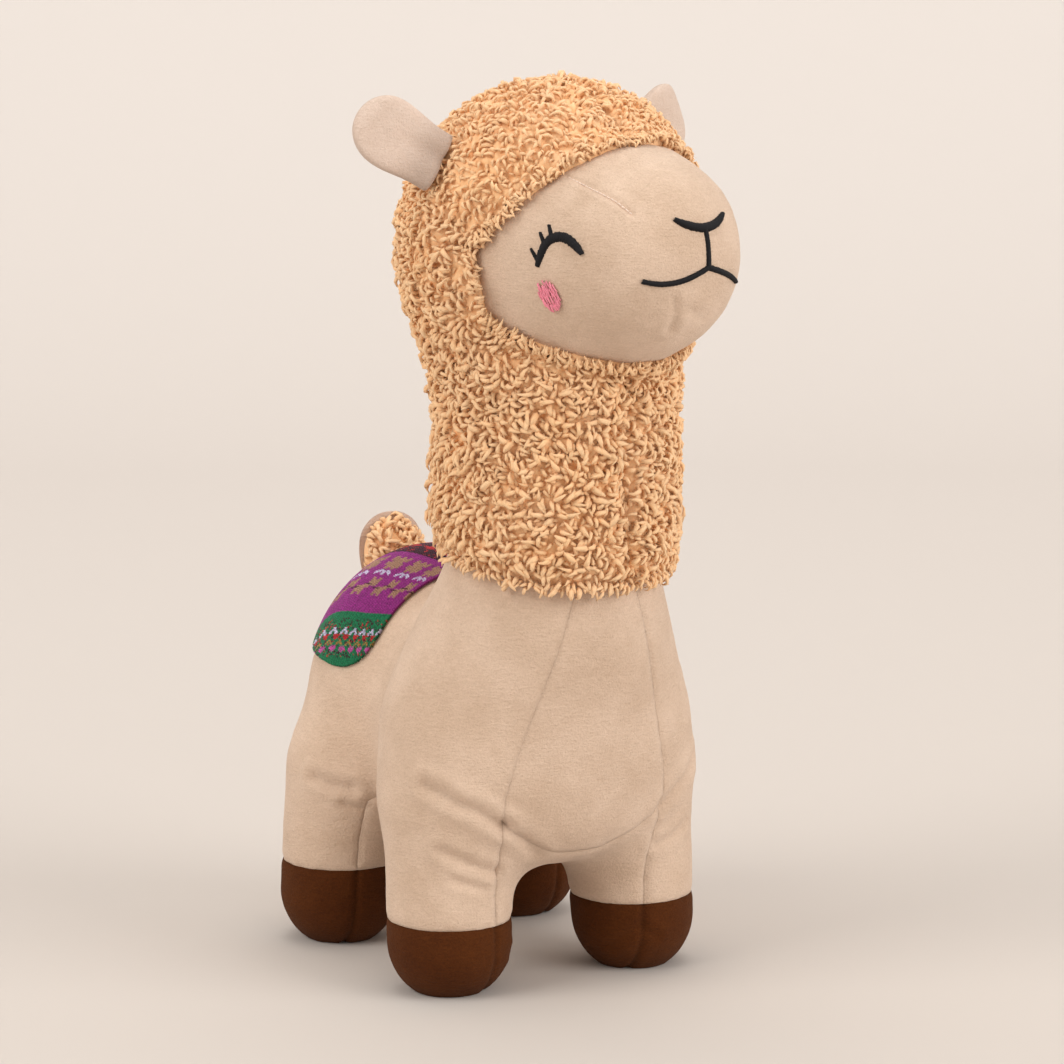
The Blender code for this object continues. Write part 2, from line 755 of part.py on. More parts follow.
def paddle_width(t, root_width, full_width):
    """Half width of a paddle at a share t of its length: narrow root, round end."""
    swell = ramp(t, 0.0, 0.55, root_width, full_width) / 2
    rounding = math.sqrt(max(1.0 - max(t - 0.55, 0.0) ** 2 / 0.45 ** 2, 0.0))
    return swell * rounding


def ring_mesh(rings, tip):
    """A closed form from rings of points, flat at its first ring and pointed at its tip."""
    count = len(rings[0])
    points = [q for ring in rings for q in ring] + [tip, np.mean(rings[0], axis=0)]
    tip_index = len(points) - 2
    root_index = len(points) - 1
    faces = []
    for r in range(len(rings) - 1):
        for k in range(count):
            a = r * count + k
            b = r * count + (k + 1) % count
            faces += [(a, b, b + count), (a, b + count, a + count)]
    last = (len(rings) - 1) * count
    for k in range(count):
        faces.append((last + k, last + (k + 1) % count, tip_index))
        faces.append(((k + 1) % count, k, root_index))
    return np.array(points), faces


def ear_rings(side):
    """Rings of an ear on the head's axes, from its root outwards."""
    lift = math.radians(RIGHT_EAR_LIFT if side < 0 else LEFT_EAR_LIFT)
    swing = math.radians(EAR_SWING)
    out = np.array([side * math.cos(swing), math.sin(swing), 0.0])
    along = out * math.cos(lift) + np.array([0.0, 0.0, math.sin(lift)])
    across = np.array([0.0, 0.0, math.cos(lift)]) - out * math.sin(lift)
    front = np.cross(along, across) * side
    root = np.array([side * EAR_SIDE, EAR_BACK, EAR_UP])
    rings = []
    shares = (0.0, 0.15, 0.32, 0.5, 0.66, 0.8, 0.9, 0.96)
    around = 14
    for t in shares:
        half = paddle_width(t, EAR_ROOT_WIDTH, EAR_WIDTH)
        thick = EAR_THICKNESS / 2 * math.sqrt(max(1.0 - t ** 4, 0.05))
        centre = root + along * EAR_LENGTH * t
        ring = []
        for k in range(around):
            angle = 2 * math.pi * k / around
            s = math.cos(angle)
            cup = EAR_CUP * s * s * t
            ring.append(centre + across * half * s + front * (thick * math.sin(angle) + cup))
        rings.append(ring)
    tip = root + along * EAR_LENGTH
    return rings, tip, along


def ear_mesh(side):
    rings, tip, along = ear_rings(side)
    world = [from_head(np.array(ring)) for ring in rings]
    way = from_head(np.array([along, [0.0, 0.0, 0.0]]))
    way = unit(way[0] - way[1])
    seat = np.vstack([world[0], world[0].mean(0)])
    seat = seat_along(seat, way, column, PILE + EAR_SEAT)
    world[0] = seat[:-1]
    points, faces = ring_mesh(world, from_head(np.array([tip]))[0])
    points[-1] = seat[-1]
    return points, outward(points, faces)


def outward(points, faces):
    """The same faces, turned outwards if they point in."""
    p = np.array(points)
    f = np.array(faces)
    volume = np.einsum("ij,ij->i", p[f[:, 0]], np.cross(p[f[:, 1]], p[f[:, 2]])).sum()
    return faces if volume > 0.0 else [face[::-1] for face in faces]


def tail_half(near, far):
    """One cloth of the flat tail, which stands up from the rump: near and far are the depths
    of its flat and its bowed face, forward of the tail's middle plane."""
    lean = math.radians(TAIL_LEAN)
    along = np.array([0.0, math.sin(lean), math.cos(lean)])
    forward = np.array([0.0, -math.cos(lean), math.sin(lean)])
    behind = np.array([[0.0, RUMP_Y + RUMP_HALF_LENGTH, TAIL_ROOT_Z]])
    root = seat_along(behind, np.array([0.0, 1.0, 0.0]), skin, 0.0)[0]
    around = 12
    rings = []
    for t in TAIL_SHARES:
        half = paddle_width(t, TAIL_ROOT_WIDTH, TAIL_WIDTH)
        swell = math.sqrt(1.0 - t ** 3)
        ring = []
        for k in range(around):
            angle = 2 * math.pi * k / around
            bow = max(math.sin(angle), 0.0) * swell
            depth = near + (far - near) * bow
            ring.append(root + along * TAIL_LENGTH * t + forward * depth + np.array([half * math.cos(angle), 0.0, 0.0]))
        rings.append(np.array(ring))
    seat = seat_along(np.vstack([rings[0], rings[0].mean(0)]), along, skin, TAIL_SEAT)
    rings[0] = seat[:-1]
    tip = root + along * TAIL_LENGTH + forward * (2 * near)
    points, faces = ring_mesh(rings, tip)
    points[-1] = seat[-1]
    return points, outward(points, faces)


def ring_at(y, angle):
    """Points just over the skin round the rump, at an angle from straight up."""
    start = np.stack([np.zeros(len(y)), y, np.full(len(y), RUMP_Z)], -1)
    way = np.stack([np.sin(angle), np.zeros(len(y)), np.cos(angle)], -1)
    return seat_along(start + way * RUMP_HALF_HEIGHT, way, skin, BLANKET_LIFT)


def fall_over(y):
    """Angles round the rump from its top, and for each y the length of cloth from there to each."""
    angle = np.linspace(0.0, math.radians(115.0), 58)
    ring = ring_at(np.repeat(y, len(angle)), np.tile(angle, len(y))).reshape(len(y), -1, 3)
    step = np.linalg.norm(np.diff(ring, axis=1), axis=-1)
    return angle, np.hstack([np.zeros((len(y), 1)), np.cumsum(step, axis=1)]), ring


def blanket_mesh():
    """A strip of woven cloth laid over the rump, with round corners."""
    angle, run, ring = fall_over([BLANKET_Y])
    half_length = run[0][np.nonzero(ring[0, :, 2] < BLANKET_HANG_Z)[0][0]]
    half = BLANKET_WIDTH / 2
    flat = []
    for row in np.linspace(-half_length, half_length, BLANKET_ROWS):
        past = max(abs(row) - (half_length - BLANKET_CORNER), 0.0)
        end_half = half - BLANKET_CORNER + math.sqrt(max(BLANKET_CORNER ** 2 - past ** 2, 0.0))
        for share in np.linspace(-1.0, 1.0, BLANKET_COLUMNS):
            flat.append((row, BLANKET_Y + max(end_half, BLANKET_END_SHARE * half) * share))
    flat = np.array(flat)
    angle, run, ring = fall_over(flat[:, 1])
    turn = np.array([np.interp(abs(s), way, angle) for s, way in zip(flat[:, 0], run)])
    low = ring_at(flat[:, 1], np.copysign(turn, flat[:, 0]))
    high = low + unit(slope(skin, low)) * BLANKET_CLOTH
    top = []
    for i in range(BLANKET_ROWS - 1):
        for j in range(BLANKET_COLUMNS - 1):
            a = i * BLANKET_COLUMNS + j
            b, c, d = a + 1, a + BLANKET_COLUMNS + 1, a + BLANKET_COLUMNS
            top += [(a, b, c), (a, c, d)]
    count = len(low)
    under = [(a + count, c + count, b + count) for a, b, c in top]
    pairs = {(f[k], f[(k + 1) % 3]) for f in top for k in range(3)}
    rim = sorted((a, b) for a, b in pairs if (b, a) not in pairs)
    sides = [t for a, b in rim for t in ((b, a, a + count), (b, a + count, b + count))]
    points = np.vstack([high, low])
    return points, outward(points, top + under + sides)


# Stitched face

def on_face(turn, z, lift=0.0):
    """A point of the face, by its turn from the middle in degrees and its height on the head."""
    turn = np.radians(np.asarray(turn, float))
    z = np.asarray(z, float)
    way_head = np.stack([np.sin(turn), -np.cos(turn), np.zeros_like(turn)], -1)
    start_head = np.stack([np.zeros_like(turn), np.zeros_like(turn), z], -1)
    start = from_head(start_head)
    way = unit(from_head(start_head + way_head) - start)
    return seat_along(start + way * (MUZZLE_REACH + MUZZLE_HALF_LENGTH), way, skin, lift)


def ribbon(path, widths, height=STITCH_HEIGHT, lift=STITCH_LIFT):
    """A raised row of satin stitch that follows a path over the face."""
    p = np.array(path)
    n = unit(slope(skin, p))
    t = unit(np.gradient(p, axis=0))
    side = unit(np.cross(n, t))
    half = np.array(widths)[:, None] / 2
    corners = [
        p + n * lift + side * half,
        p + n * (lift + height) + side * half * 0.6,
        p + n * (lift + height) - side * half * 0.6,
        p + n * lift - side * half,
    ]
    rings = np.stack(corners, 1)
    points = rings.reshape(-1, 3)
    faces = []
    for r in range(len(p) - 1):
        for k in range(4):
            a = r * 4 + k
            b = r * 4 + (k + 1) % 4
            faces += [(a, b, b + 4), (a, b + 4, a + 4)]
    last = len(points) - 4
    faces += [(1, 0, 3), (2, 1, 3), (last, last + 1, last + 3), (last + 1, last + 2, last + 3)]
    return points, outward(points, faces)


def tapered(count, width, ends=0.45):
    """Widths of a stitch row that thins towards its ends."""
    t = np.linspace(-1.0, 1.0, count)
    return width * (ends + (1.0 - ends) * (1.0 - t ** 4))


def eye_height(t):
    """Height of the eye's arch from its outer end, t = -1, to its inner end, t = 1."""
    return EYE_Z + EYE_RISE * (1.0 - np.abs(t) ** EYE_ARCH) + EYE_TILT * t


def eye_rows(side):
    """The closed eye, an arch, and its three lashes."""
    t = np.linspace(-1.0, 1.0, 13)
    rows = [ribbon(on_face(side * (EYE_TURN - EYE_SPREAD * t), eye_height(t)), tapered(13, STITCH_WIDTH))]
    for place, lean in zip(LASH_PLACES, LASH_LEANS):
        root_turn = EYE_TURN - EYE_SPREAD * place
        root_z = eye_height(place)
        reach = np.linspace(0.0, 1.0, 4)
        lash_turn = root_turn - lean * LASH_LENGTH * reach
        lash_z = root_z + LASH_LENGTH * reach
        rows.append(
            ribbon(
                on_face(side * lash_turn, lash_z),
                np.linspace(0.6, 0.35, 4) * STITCH_WIDTH,
                STITCH_HEIGHT * 0.8,
                STITCH_LIFT + CROSSING_LIFT,
            )
        )
    return rows


def mouth_rows():
    """The nose, the line below it and the two sides of the mouth."""
    t = np.linspace(-1.0, 1.0, 13)
    nose = ribbon(on_face(NOSE_TURN * t, NOSE_Z - NOSE_DIP * (1.0 - t ** 2)), tapered(13, STITCH_WIDTH))
    reach = np.linspace(0.0, 1.0, 6)
    middle_z = NOSE_Z - NOSE_DIP + (LIP_Z - NOSE_Z + NOSE_DIP) * reach
    thin = STITCH_WIDTH * 0.6
    lip = ribbon(on_face(np.zeros(6), middle_z), np.full(6, thin), STITCH_HEIGHT * 0.9, STITCH_LIFT + CROSSING_LIFT)
    right_z = LIP_Z - MOUTH_DIP * np.sin(np.abs(t) * 0.75 * math.pi) + MOUTH_END_RISE * t ** 2
    mouth_z = np.where(t < 0.0, right_z, LIP_Z - MOUTH_FALL_LEFT * t)
    mouth_turn = np.where(t < 0.0, MOUTH_TURN_RIGHT, MOUTH_TURN_LEFT) * t
    mouth = ribbon(on_face(mouth_turn, mouth_z), tapered(13, thin), STITCH_HEIGHT * 0.8, STITCH_LIFT + 2 * CROSSING_LIFT)
    return [nose, lip, mouth]


def cheek_mesh(side):
    """A low oval pad of pink stitches."""
    around = 18
    tilt = math.radians(CHEEK_TILT)
    degrees = math.degrees(1.0 / HEAD_RADIUS)
    rings = []
    for share in (1.0, 0.8, 0.4):
        angle = np.linspace(0.0, 2 * math.pi, around, endpoint=False)
        u = CHEEK_LENGTH / 2 * share * np.cos(angle)
        v = CHEEK_WIDTH / 2 * share * np.sin(angle)
        across = u * math.sin(tilt) + v * math.cos(tilt)
        up = u * math.cos(tilt) - v * math.sin(tilt)
        rings.append((CHEEK_TURN + across * degrees, CHEEK_Z + up))
    levels = (0.0, 0.75, 1.0)
    points = [on_face(side * turn, z, STITCH_LIFT) for turn, z in rings[:1]]
    points += [
        on_face(side * turn, z, STITCH_LIFT + STITCH_HEIGHT * level) for (turn, z), level in zip(rings, levels[1:] + (1.0,))
    ]
    centre = on_face([side * CHEEK_TURN], [CHEEK_Z], STITCH_LIFT + STITCH_HEIGHT)[0]
    mesh_points, faces = ring_mesh(points, centre)
    mesh_points[-1] = on_face([side * CHEEK_TURN], [CHEEK_Z], STITCH_LIFT)[0]
    return mesh_points, outward(mesh_points, faces)


# Objects

def material(name):
    red, green, blue, roughness = COLOURS[name]
    made = bpy.data.materials.get(name)
    if made is None:
        made = bpy.data.materials.new(name)
        made.use_nodes = True
        shader = made.node_tree.nodes["Principled BSDF"]
        shader.inputs["Base Color"].default_value = (red, green, blue, 1.0)
        shader.inputs["Roughness"].default_value = roughness
        shader.inputs["Metallic"].default_value = 0.0
    return made


def add_object(name, points, faces, look):
    mesh = bpy.data.meshes.new(name)
    mesh.from_pydata([tuple(q) for q in points * MM], [], faces)
    mesh.materials.append(material(look))
    mesh.shade_smooth()
    mesh.set_sharp_from_angle(angle=math.radians(50))
    made = bpy.data.objects.new(name, mesh)
    bpy.context.scene.collection.objects.link(made)
    return made


def add_union(name, rows, look, shift):
    """Rows of stitches that cross, joined into one piece."""
    pieces = []
    for i, (points, faces) in enumerate(rows):
        pieces.append(add_object(name if i == 0 else f"{name}_row_{i}", points - shift, faces, look))
    whole = pieces[0]
    for cutter in pieces[1:]:
        join = whole.modifiers.new(cutter.name, "BOOLEAN")
        join.operation = "UNION"
        join.solver = "EXACT"
        join.object = cutter
        cutter.hide_render = True
        cutter.display_type = "WIRE"


def main():
    for old in list(bpy.data.objects):
        bpy.data.objects.remove(old)
    form = base_form()
    cut_pattern(form)
    normals = form.normals()
    solids = {"stuffing": (*filling_mesh(form, normals), "filling")}
    for name in sorted(set(form.panels)):
        fleecy = name.startswith("mane")
        look = "fleece" if fleecy else "brown" if name.startswith("hoof") else "cream"
        points, faces = panel_mesh(form, normals, name, pile_height if fleecy else bare)
        solids[name] = (points, faces, look)
    for name, side in (("right", -1), ("left", 1)):
        solids[f"ear_{name}"] = (*ear_mesh(side), "cream")
        solids[f"cheek_{name}"] = (*cheek_mesh(side), "pink")
    solids["tail_fleece"] = (*tail_half(SEAM_GAP / 2, TAIL_FLEECE), "fleece")
    solids["tail_back"] = (*tail_half(-SEAM_GAP / 2, -TAIL_BACK_CLOTH), "cream")
    solids["blanket"] = (*blanket_mesh(), "weave")

    # The origin is under the middle of the whole toy, ears and tail included
    every = np.vstack([points for points, _, _ in solids.values()])
    shift = (every.min(0) + every.max(0)) / 2
    shift[2] = 0.0
    for name, (points, faces, look) in solids.items():
        add_object(name, points - shift, faces, look)
    for name, side in (("right", -1), ("left", 1)):
        add_union(f"eye_{name}", eye_rows(side), "thread", shift)
    add_union("nose_and_mouth", mouth_rows(), "thread", shift)


main()
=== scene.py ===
# Plush llama: the looks of every surface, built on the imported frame.
# Sizes are in millimetres on the toy's design axes: it faces -Y, its left side is at +X, it stands
# on Z = 0, and X = 0 is the middle plane of its body. place() takes them to the frame, in metres.

import math

import bpy
import numpy as np
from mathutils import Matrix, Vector
from mathutils.kdtree import KDTree


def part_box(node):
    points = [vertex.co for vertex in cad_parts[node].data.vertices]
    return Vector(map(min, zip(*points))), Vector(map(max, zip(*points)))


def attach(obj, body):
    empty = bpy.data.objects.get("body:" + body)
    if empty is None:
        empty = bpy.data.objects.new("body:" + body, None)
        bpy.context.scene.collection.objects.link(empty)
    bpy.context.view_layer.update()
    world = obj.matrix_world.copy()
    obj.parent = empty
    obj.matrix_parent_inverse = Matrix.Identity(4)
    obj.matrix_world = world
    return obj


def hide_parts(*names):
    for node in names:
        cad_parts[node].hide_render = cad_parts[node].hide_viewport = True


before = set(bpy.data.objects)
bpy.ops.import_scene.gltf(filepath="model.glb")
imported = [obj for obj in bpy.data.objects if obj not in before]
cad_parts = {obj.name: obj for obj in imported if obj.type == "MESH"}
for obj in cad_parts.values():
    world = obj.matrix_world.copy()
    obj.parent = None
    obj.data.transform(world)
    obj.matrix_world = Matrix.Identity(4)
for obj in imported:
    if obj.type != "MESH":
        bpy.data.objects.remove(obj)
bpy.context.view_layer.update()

MM = 0.001

# Camera, in the design frame
CAMERA_TURN = -29.4
CAMERA_DISTANCE = 1685.0
CAMERA_Z = 462.6
AIM_Z = 159.5
AIM_ASIDE = 16.7
LENS = 156.0
SENSOR = 36.0

# Body, as in the CAD model
CHEST_Y = -36.0
CHEST_Z = 90.0
CHEST_HALF = (61.0, 45.0, 60.0)
RUMP_Y = 41.0
RUMP_Z = 91.0
RUMP_HALF = (49.5, 41.0, 56.0)
WAIST_Z = 88.0
WAIST_HALF = (37.0, 50.0, 47.0)
TORSO_BLEND = 20.0
BELLY_Z = 41.0
BELLY_BLEND = 24.0
HIP_X = 37.0
HIP_Z = 66.0
HIP_RADIUS = 24.0
FOOT_X = 39.0
FOOT_RADIUS = 22.8
SOLE_RADIUS = 13.0
LEGS = ((-38.0, -40.5), (41.0, 45.0))
LEG_BLEND = 14.0

# Neck and head, as in the CAD model
NECK_Y = -50.5
NECK_BASE_Z = 140.0
NECK_BASE_RADIUS = 38.0
NECK_TOP_Z = 250.0
NECK_TOP_RADIUS = 35.5
NECK_BLEND = 29.0
HEAD_Z = 277.0
HEAD_HALF = (48.7, 48.7, 47.8)
HEAD_TURN = 12.5
HEAD_PITCH = 9.0
MUZZLE_REACH = 36.5
MUZZLE_DROP = 11.0
MUZZLE_HALF = (39.0, 40.0, 38.0)
MUZZLE_BLEND = 14.0

# Seams, as in the CAD model
HAIRLINE_HALF = (49.0, 38.5)
HAIRLINE_DROP = 11.5
HAIRLINE_BACK = 8.0
COLLAR_Z = 154.5
COLLAR_RISE = 0.18
MANE_SEAM_TURN = 6.5
FRONT_LEG_SEAM = 31.0
REAR_LEG_SEAM = 44.0

# Ears and tail, near their shapes in the CAD model
EAR_SIDE = 52.0
EAR_BACK = 5.0
EAR_UP = 30.0
EAR_LENGTH = 30.5
EAR_WIDTH = 25.5
EAR_ROOT_WIDTH = 22.0
EAR_THICKNESS = 9.0
EAR_CUP = 3.0
EAR_SWING = 18.0
EAR_LIFT = {"right": 34.0, "left": 22.0}
EAR_ROOT_DEPTH = 0.14
EAR_FOLD = 1.6
EAR_RINGS = 44
EAR_SIDES = 64
TAIL_ROOT_Z = 124.0
TAIL_LENGTH = 32.0
TAIL_ROOT_WIDTH = 23.0
TAIL_WIDTH = 27.5
TAIL_FLEECE = 11.0
TAIL_BACK_CLOTH = 5.0
TAIL_LEAN = 4.0
TAIL_GAP = 0.16
TAIL_FRONT_SHARE = 0.88
TAIL_RINGS = 30
TAIL_SIDES = 48

# Blanket
BLANKET_Y = 38.0
BLANKET_WIDTH = 48.0
BLANKET_HANG_Z = 109.0
BLANKET_CORNER = 24.0
BLANKET_AHEAD = 20.0
BLANKET_LIFT = 1.25
STITCH_WIDE = 1.15
STITCH_TALL = 0.85
STITCH_RELIEF = 0.5
WOOL_WIDE = 0.8
WOOL_TALL = 0.56
KNIT_DEPTH = 1.0
CLOTH_SINK = 0.3
CLOTH_DEPTH = 0.9
# The four points across a stitch: their places, how far they lean, and how high they stand
STITCH_PLACES = (0.0, 0.28, 0.5, 0.72)
STITCH_LEANS = (0.0, -0.13, 0.0, 0.13)
STITCH_RIDGES = (0.0, 1.0, 0.25, 1.0)
COURSE_RIDGES = (0.45, 1.0, 0.85)

# Stitched face
STITCH_WIDTH = 3.2
EYE_TURN = 42.8
EYE_SPREAD = 7.8
EYE_Z = -10.6
EYE_RISE = 8.0
EYE_TILT = 1.2
EYE_ARCH = 2.3
LASH_LENGTH = 4.8
LASH_PLACES = (-0.92, -0.52, -0.16)
LASH_LEANS = (-0.5, -0.28, -0.12)
CHEEK_TURN = 47.2
CHEEK_Z = -22.3
CHEEK_LENGTH = 11.5
CHEEK_WIDTH = 6.4
CHEEK_TILT = 20.0
NOSE_TURN = 9.0
NOSE_Z = -0.7
NOSE_DIP = 4.0
LIP_Z = -18.5
MOUTH_TURN_RIGHT = 19.5
MOUTH_TURN_LEFT = 16.5
MOUTH_DIP = 4.5
MOUTH_END_RISE = 0.9
MOUTH_FALL_LEFT = 6.0
EYE_RAISE = 1.15
LASH_RAISE = 0.85
NOSE_RAISE = 1.15
LINE_RAISE = 0.9
MOUTH_RAISE = 0.95
THIN_LINE = 0.56
THREAD = 0.24
THREAD_PITCH = 0.36
THREAD_POINTS = 7
THREAD_SIDES = 5
CHEEK_THREAD = 0.27
CHEEK_PITCH = 0.42
DART_THREAD = 0.2

# Cloths, and how many times their triangles are parted
VELOUR = 2.2
HEM_DEPTH = 3.6
FILLING_DEPTH = 3.4
SEAM_DEPTH = 0.55
SEAM_REACH = 1.5
SEAM_CLOSE = 0.2
SEAM_UNEVEN = 0.35
SEAM_UNEVEN_SIZE = 3.0
# How much painted shade darkens the velour in the groove along its seams
SEAM_PAINTED_SHADE = 0.05
PILE = 7.3
PILE_AT_HEM = 4.2
HEM_ROUNDING = 11.0
CLOTH_SWELL = 0.45
CLOTH_SWELL_SIZE = 26.0
CLOTH_UNEVEN = 0.10
CLOTH_UNEVEN_SIZE = 4.5
HOOF_SEAM_DEPTH = 0.9
HOOF_SEAM_REACH = 1.3
PANEL_LEVELS = 3
GROUND_LEVELS = 3

# Wrinkles of the velour: how deep each goes and how high its banks stand, as shares of its depth,
# and how far off the banks are and how wide, as shares of its half width
CREASE_DIP = 0.75
CREASE_BANK = 0.42
BANK_AWAY = 2.6
BANK_WIDE = 1.3
# How much painted shade darkens the bottom of a crease, for each millimetre of its depth
CREASE_PAINTED_SHADE = 0.05
# The line of each wrinkle, its depth and its half width
CREASES = (
    (((-57, -55, 81), (-54, -60, 79), (-48, -64, 75), (-42, -68, 72), (-33, -71, 66)), 1.9, 2.0),
    (((-53, -59, 57), (-49, -61, 55), (-41, -64, 51), (-33, -64, 48)), 1.4, 1.7),
    (((-48, -61, 46), (-43, -63, 44), (-37, -63, 42)), 0.8, 1.4),
    (((-33, -71, 66), (-24, -71, 60), (-17, -67, 53)), 1.2, 2.0),
    (((-57, 30, 67), (-52, 24, 65), (-47, 20, 64)), 1.5, 1.8),
    (((-49, 22, 58), (-43, 20, 56)), 0.9, 1.4),
    (((56, -57, 79), (50, -63, 75), (43, -68, 71), (34, -70, 66)), 1.5, 2.1),
    (((50, -60, 55), (43, -63, 52), (35, -64, 50)), 1.1, 1.7),
    (((56, 30, 68), (51, 24, 66), (46, 21, 66)), 1.3, 1.8),
    (((-28, -60, 17), (-20, -52, 14)), 0.7, 1.4),
    (((36, -63, 15), (30, -61, 19), (23, -52, 11)), 0.8, 1.5),
    (((4, -125, 260), (6, -123, 254), (6, -119, 249)), 0.9, 1.5),
    (((10, -124, 257), (14, -123, 254), (19, -120, 252)), 0.6, 1.9),
)
# The dart beside the nose, on the head's axes
DART = ((-28, -40, 17), (-27, -51, 12), (-25, -60, 7), (-23, -65, 2))
DART_DEPTH = 0.5
DART_REACH = 0.8
DART_BANK = 0.22
DART_BANK_AWAY = 2.2
DART_BANK_WIDE = 1.2
DART_STITCH = (0.9, 1.7)
DART_GAP = (0.2, 0.5)

# Locks of the fleece
LOCK_SPACING = 1.8
HEM_SPACING = 1.2
LOCK_COUNT = 4050
LOCK_RADIUS = 0.88
LOCK_CURL = 1.8
LOCK_RINGS = 6
LOCK_SIDES = 4
LOCK_FLATNESS = 0.8
LOCK_SIZES = (0.8, 1.2)
LOCK_TURNS = (2.3, 4.4)
LOCK_ROOT_LEAN = 0.75
LOCK_UNEVEN = 0.5
LOCKS_A_WISP = 6
WISP_LENGTH = (0.8, 2.0)
WISP_LEAN = (0.8, 2.2)
HEM_BAND = 0.9
HEM_SPILL = (0.8, 2.3)
SCATTER = 0.3
WISP_RADIUS = 0.11
WISP_RINGS = 4
LUMP_SIZE = 4.4
LUMP_HEIGHT = 2.6
LUMP_MIDDLE = 0.6
# The share of each size of curl, how far it is warped, how fine it is, how sharp, and its noise
CURLS = ((0.55, 1.9, 1, 4, 24), (0.3, 1.1, 2, 4, 25), (0.15, 0.5, 4, 3, 26))
GROUND_DEPTH = 1.9
GROUND_HEM = 5.0
HEM_SLOPE = 2.5
SPILL_REACH = 3.0
SWIRL_SIZE = 6.0
SWIRL_TURN = 4.2
# Where the locks grow short over the crown, and where they hang straight: from and to, in y and in z
CROWN = (268.0, 300.0)
COMBED_FROM = (-72.0, -56.0)
COMBED_BELOW = (218.0, 196.0)
# The groove along the seam down the throat
THROAT_DEPTH = 4.2
THROAT_REACH = 5.0
THROAT_BEHIND = (-25.0, -15.0)

# Looks: features a metre, and colours
NAP = 1300.0
STREAKS = 300.0
BRUSH_MARKS = 42.0
FLEECE_PATCHES = 55.0
THREAD_STRANDS = 2600.0
WOOL_HAIRS = 1500.0
FILLING_FIBRES = 420.0
# Colour of the fleece deep down at its roots: painted shade, darker and warmer than the tips
FLEECE_ROOT_PAINTED_SHADE = (0.87, 0.435, 0.175, 1.0)
FLEECE_TIP = (0.96, 0.630, 0.355, 1.0)
FLEECE_PALE = (0.96, 0.68, 0.44, 1.0)
# Painted light and shade: the sweep's colour is darker on the floor and lighter up the wall, as the light
# falls on it
SHADED_FLOOR_COLOUR = (0.600, 0.548, 0.503, 1.0)
LIT_WALL_COLOUR = (0.715, 0.662, 0.622, 1.0)

# Studio, in metres and watts
SWEEP_REACH = 1.1
SWEEP_BEND = 1.0
SWEEP_FRONT = 4.0
SWEEP_TOP = 5.0
SWEEP_HALF = 6.0
SWEEP_COLUMNS = 9
DAYLIGHT = (1.0, 0.975, 0.945)
SOFT_WHITE = (1.0, 0.985, 0.965)
AMBIENT = 0.60

SEED = 20


# Small helpers

def smooth_min(a, b, blend):
    """The lesser of two distances, rounded where they meet."""
    h = np.maximum(blend - np.abs(a - b), 0.0) / blend
    return np.minimum(a, b) - h * h * blend * 0.25


def smooth_max(a, b, blend):
    return -smooth_min(-a, -b, blend)


def ramp(x, start, end, low, high):
    """A smooth change from low at start to high at end."""
    t = np.clip((x - start) / (end - start), 0.0, 1.0)
    return low + (high - low) * t * t * (3.0 - 2.0 * t)


def unit(v):
    return v / np.maximum(np.linalg.norm(v, axis=-1, keepdims=True), 1e-9)


def ellipsoid(p, centre, radii):
    q = p - np.array(centre)
    near = np.linalg.norm(q / np.array(radii), axis=-1)
    slope_here = np.linalg.norm(q / np.array(radii) ** 2, axis=-1) + 1e-9
    return near * (near - 1.0) / slope_here


def limb(p, start, end, start_radius, end_radius):
    """A round limb that tapers from start to end."""
    start = np.array(start)
    way = np.array(end) - start
    t = np.clip(((p - start) @ way) / (way @ way), 0.0, 1.0)
    off = np.linalg.norm(p - start - t[:, None] * way, axis=-1)
    return off - (start_radius + (end_radius - start_radius) * t)


def bumps(p, size, seed=0):
    """Smooth noise between -1 and 1 whose features are about this size."""
    q = p / size + 13.7 * (seed + 1)
    cell = np.floor(q).astype(np.int64)
    f = q - cell
    f = f * f * (3.0 - 2.0 * f)
    total = np.zeros(len(p))
    for corner in range(8):
        step = np.array([corner & 1, (corner >> 1) & 1, corner >> 2])
        weight = np.prod(np.where(step == 1, f, 1.0 - f), axis=1)
        h = (cell + step) @ np.array([374761393, 668265263, 1440662683])
        h = (h ^ (h >> 13)) * 1274126177
        h = (h ^ (h >> 16)) & 0xFFFF
        total += weight * (h / 32767.5 - 1.0)
    return total


def line_distance(p, path, reach=12.0):
    """How far each point lies from a line of points, as far as its reach."""
    path = np.array(path)
    away = np.full(len(p), 2.0 * reach)
    near = np.nonzero(((p > path.min(0) - reach) & (p < path.max(0) + reach)).all(1))[0]
    for start, end in zip(path[:-1], path[1:]):
        way = end - start
        t = np.clip((p[near] - start) @ way / (way @ way), 0.0, 1.0)
        off = np.linalg.norm(p[near] - start - t[:, None] * way, axis=-1)
        away[near] = np.minimum(away[near], off)
    return away


# The form of the sewn skin, as in the CAD model

def turned(p, degrees):
    """Points seen from the neck's axis, with -Y turned by degrees towards the llama's left."""
    angle = math.radians(-degrees)
    x = p[:, 0]
    y = p[:, 1] - NECK_Y
    c = math.cos(angle)
    s = math.sin(angle)
    return np.stack([x * c - y * s, x * s + y * c, p[:, 2]], -1)


def to_head(p):
    """Points on the head's own axes, from the head's centre."""
    q = turned(p, HEAD_TURN)
    c = math.cos(math.radians(HEAD_PITCH))
    s = math.sin(math.radians(HEAD_PITCH))
    z = q[:, 2] - HEAD_Z
    return np.stack([q[:, 0], q[:, 1] * c - z * s, q[:, 1] * s + z * c], -1)


def from_head(q):
    """Points on the head's own axes, back on the design axes."""
    c = math.cos(math.radians(HEAD_PITCH))
    s = math.sin(math.radians(HEAD_PITCH))
    y = q[:, 1] * c + q[:, 2] * s
    z = q[:, 2] * c - q[:, 1] * s + HEAD_Z
    a = math.radians(HEAD_TURN)
    x = q[:, 0] * math.cos(a) - y * math.sin(a)
    return np.stack([x, q[:, 0] * math.sin(a) + y * math.cos(a) + NECK_Y, z], -1)


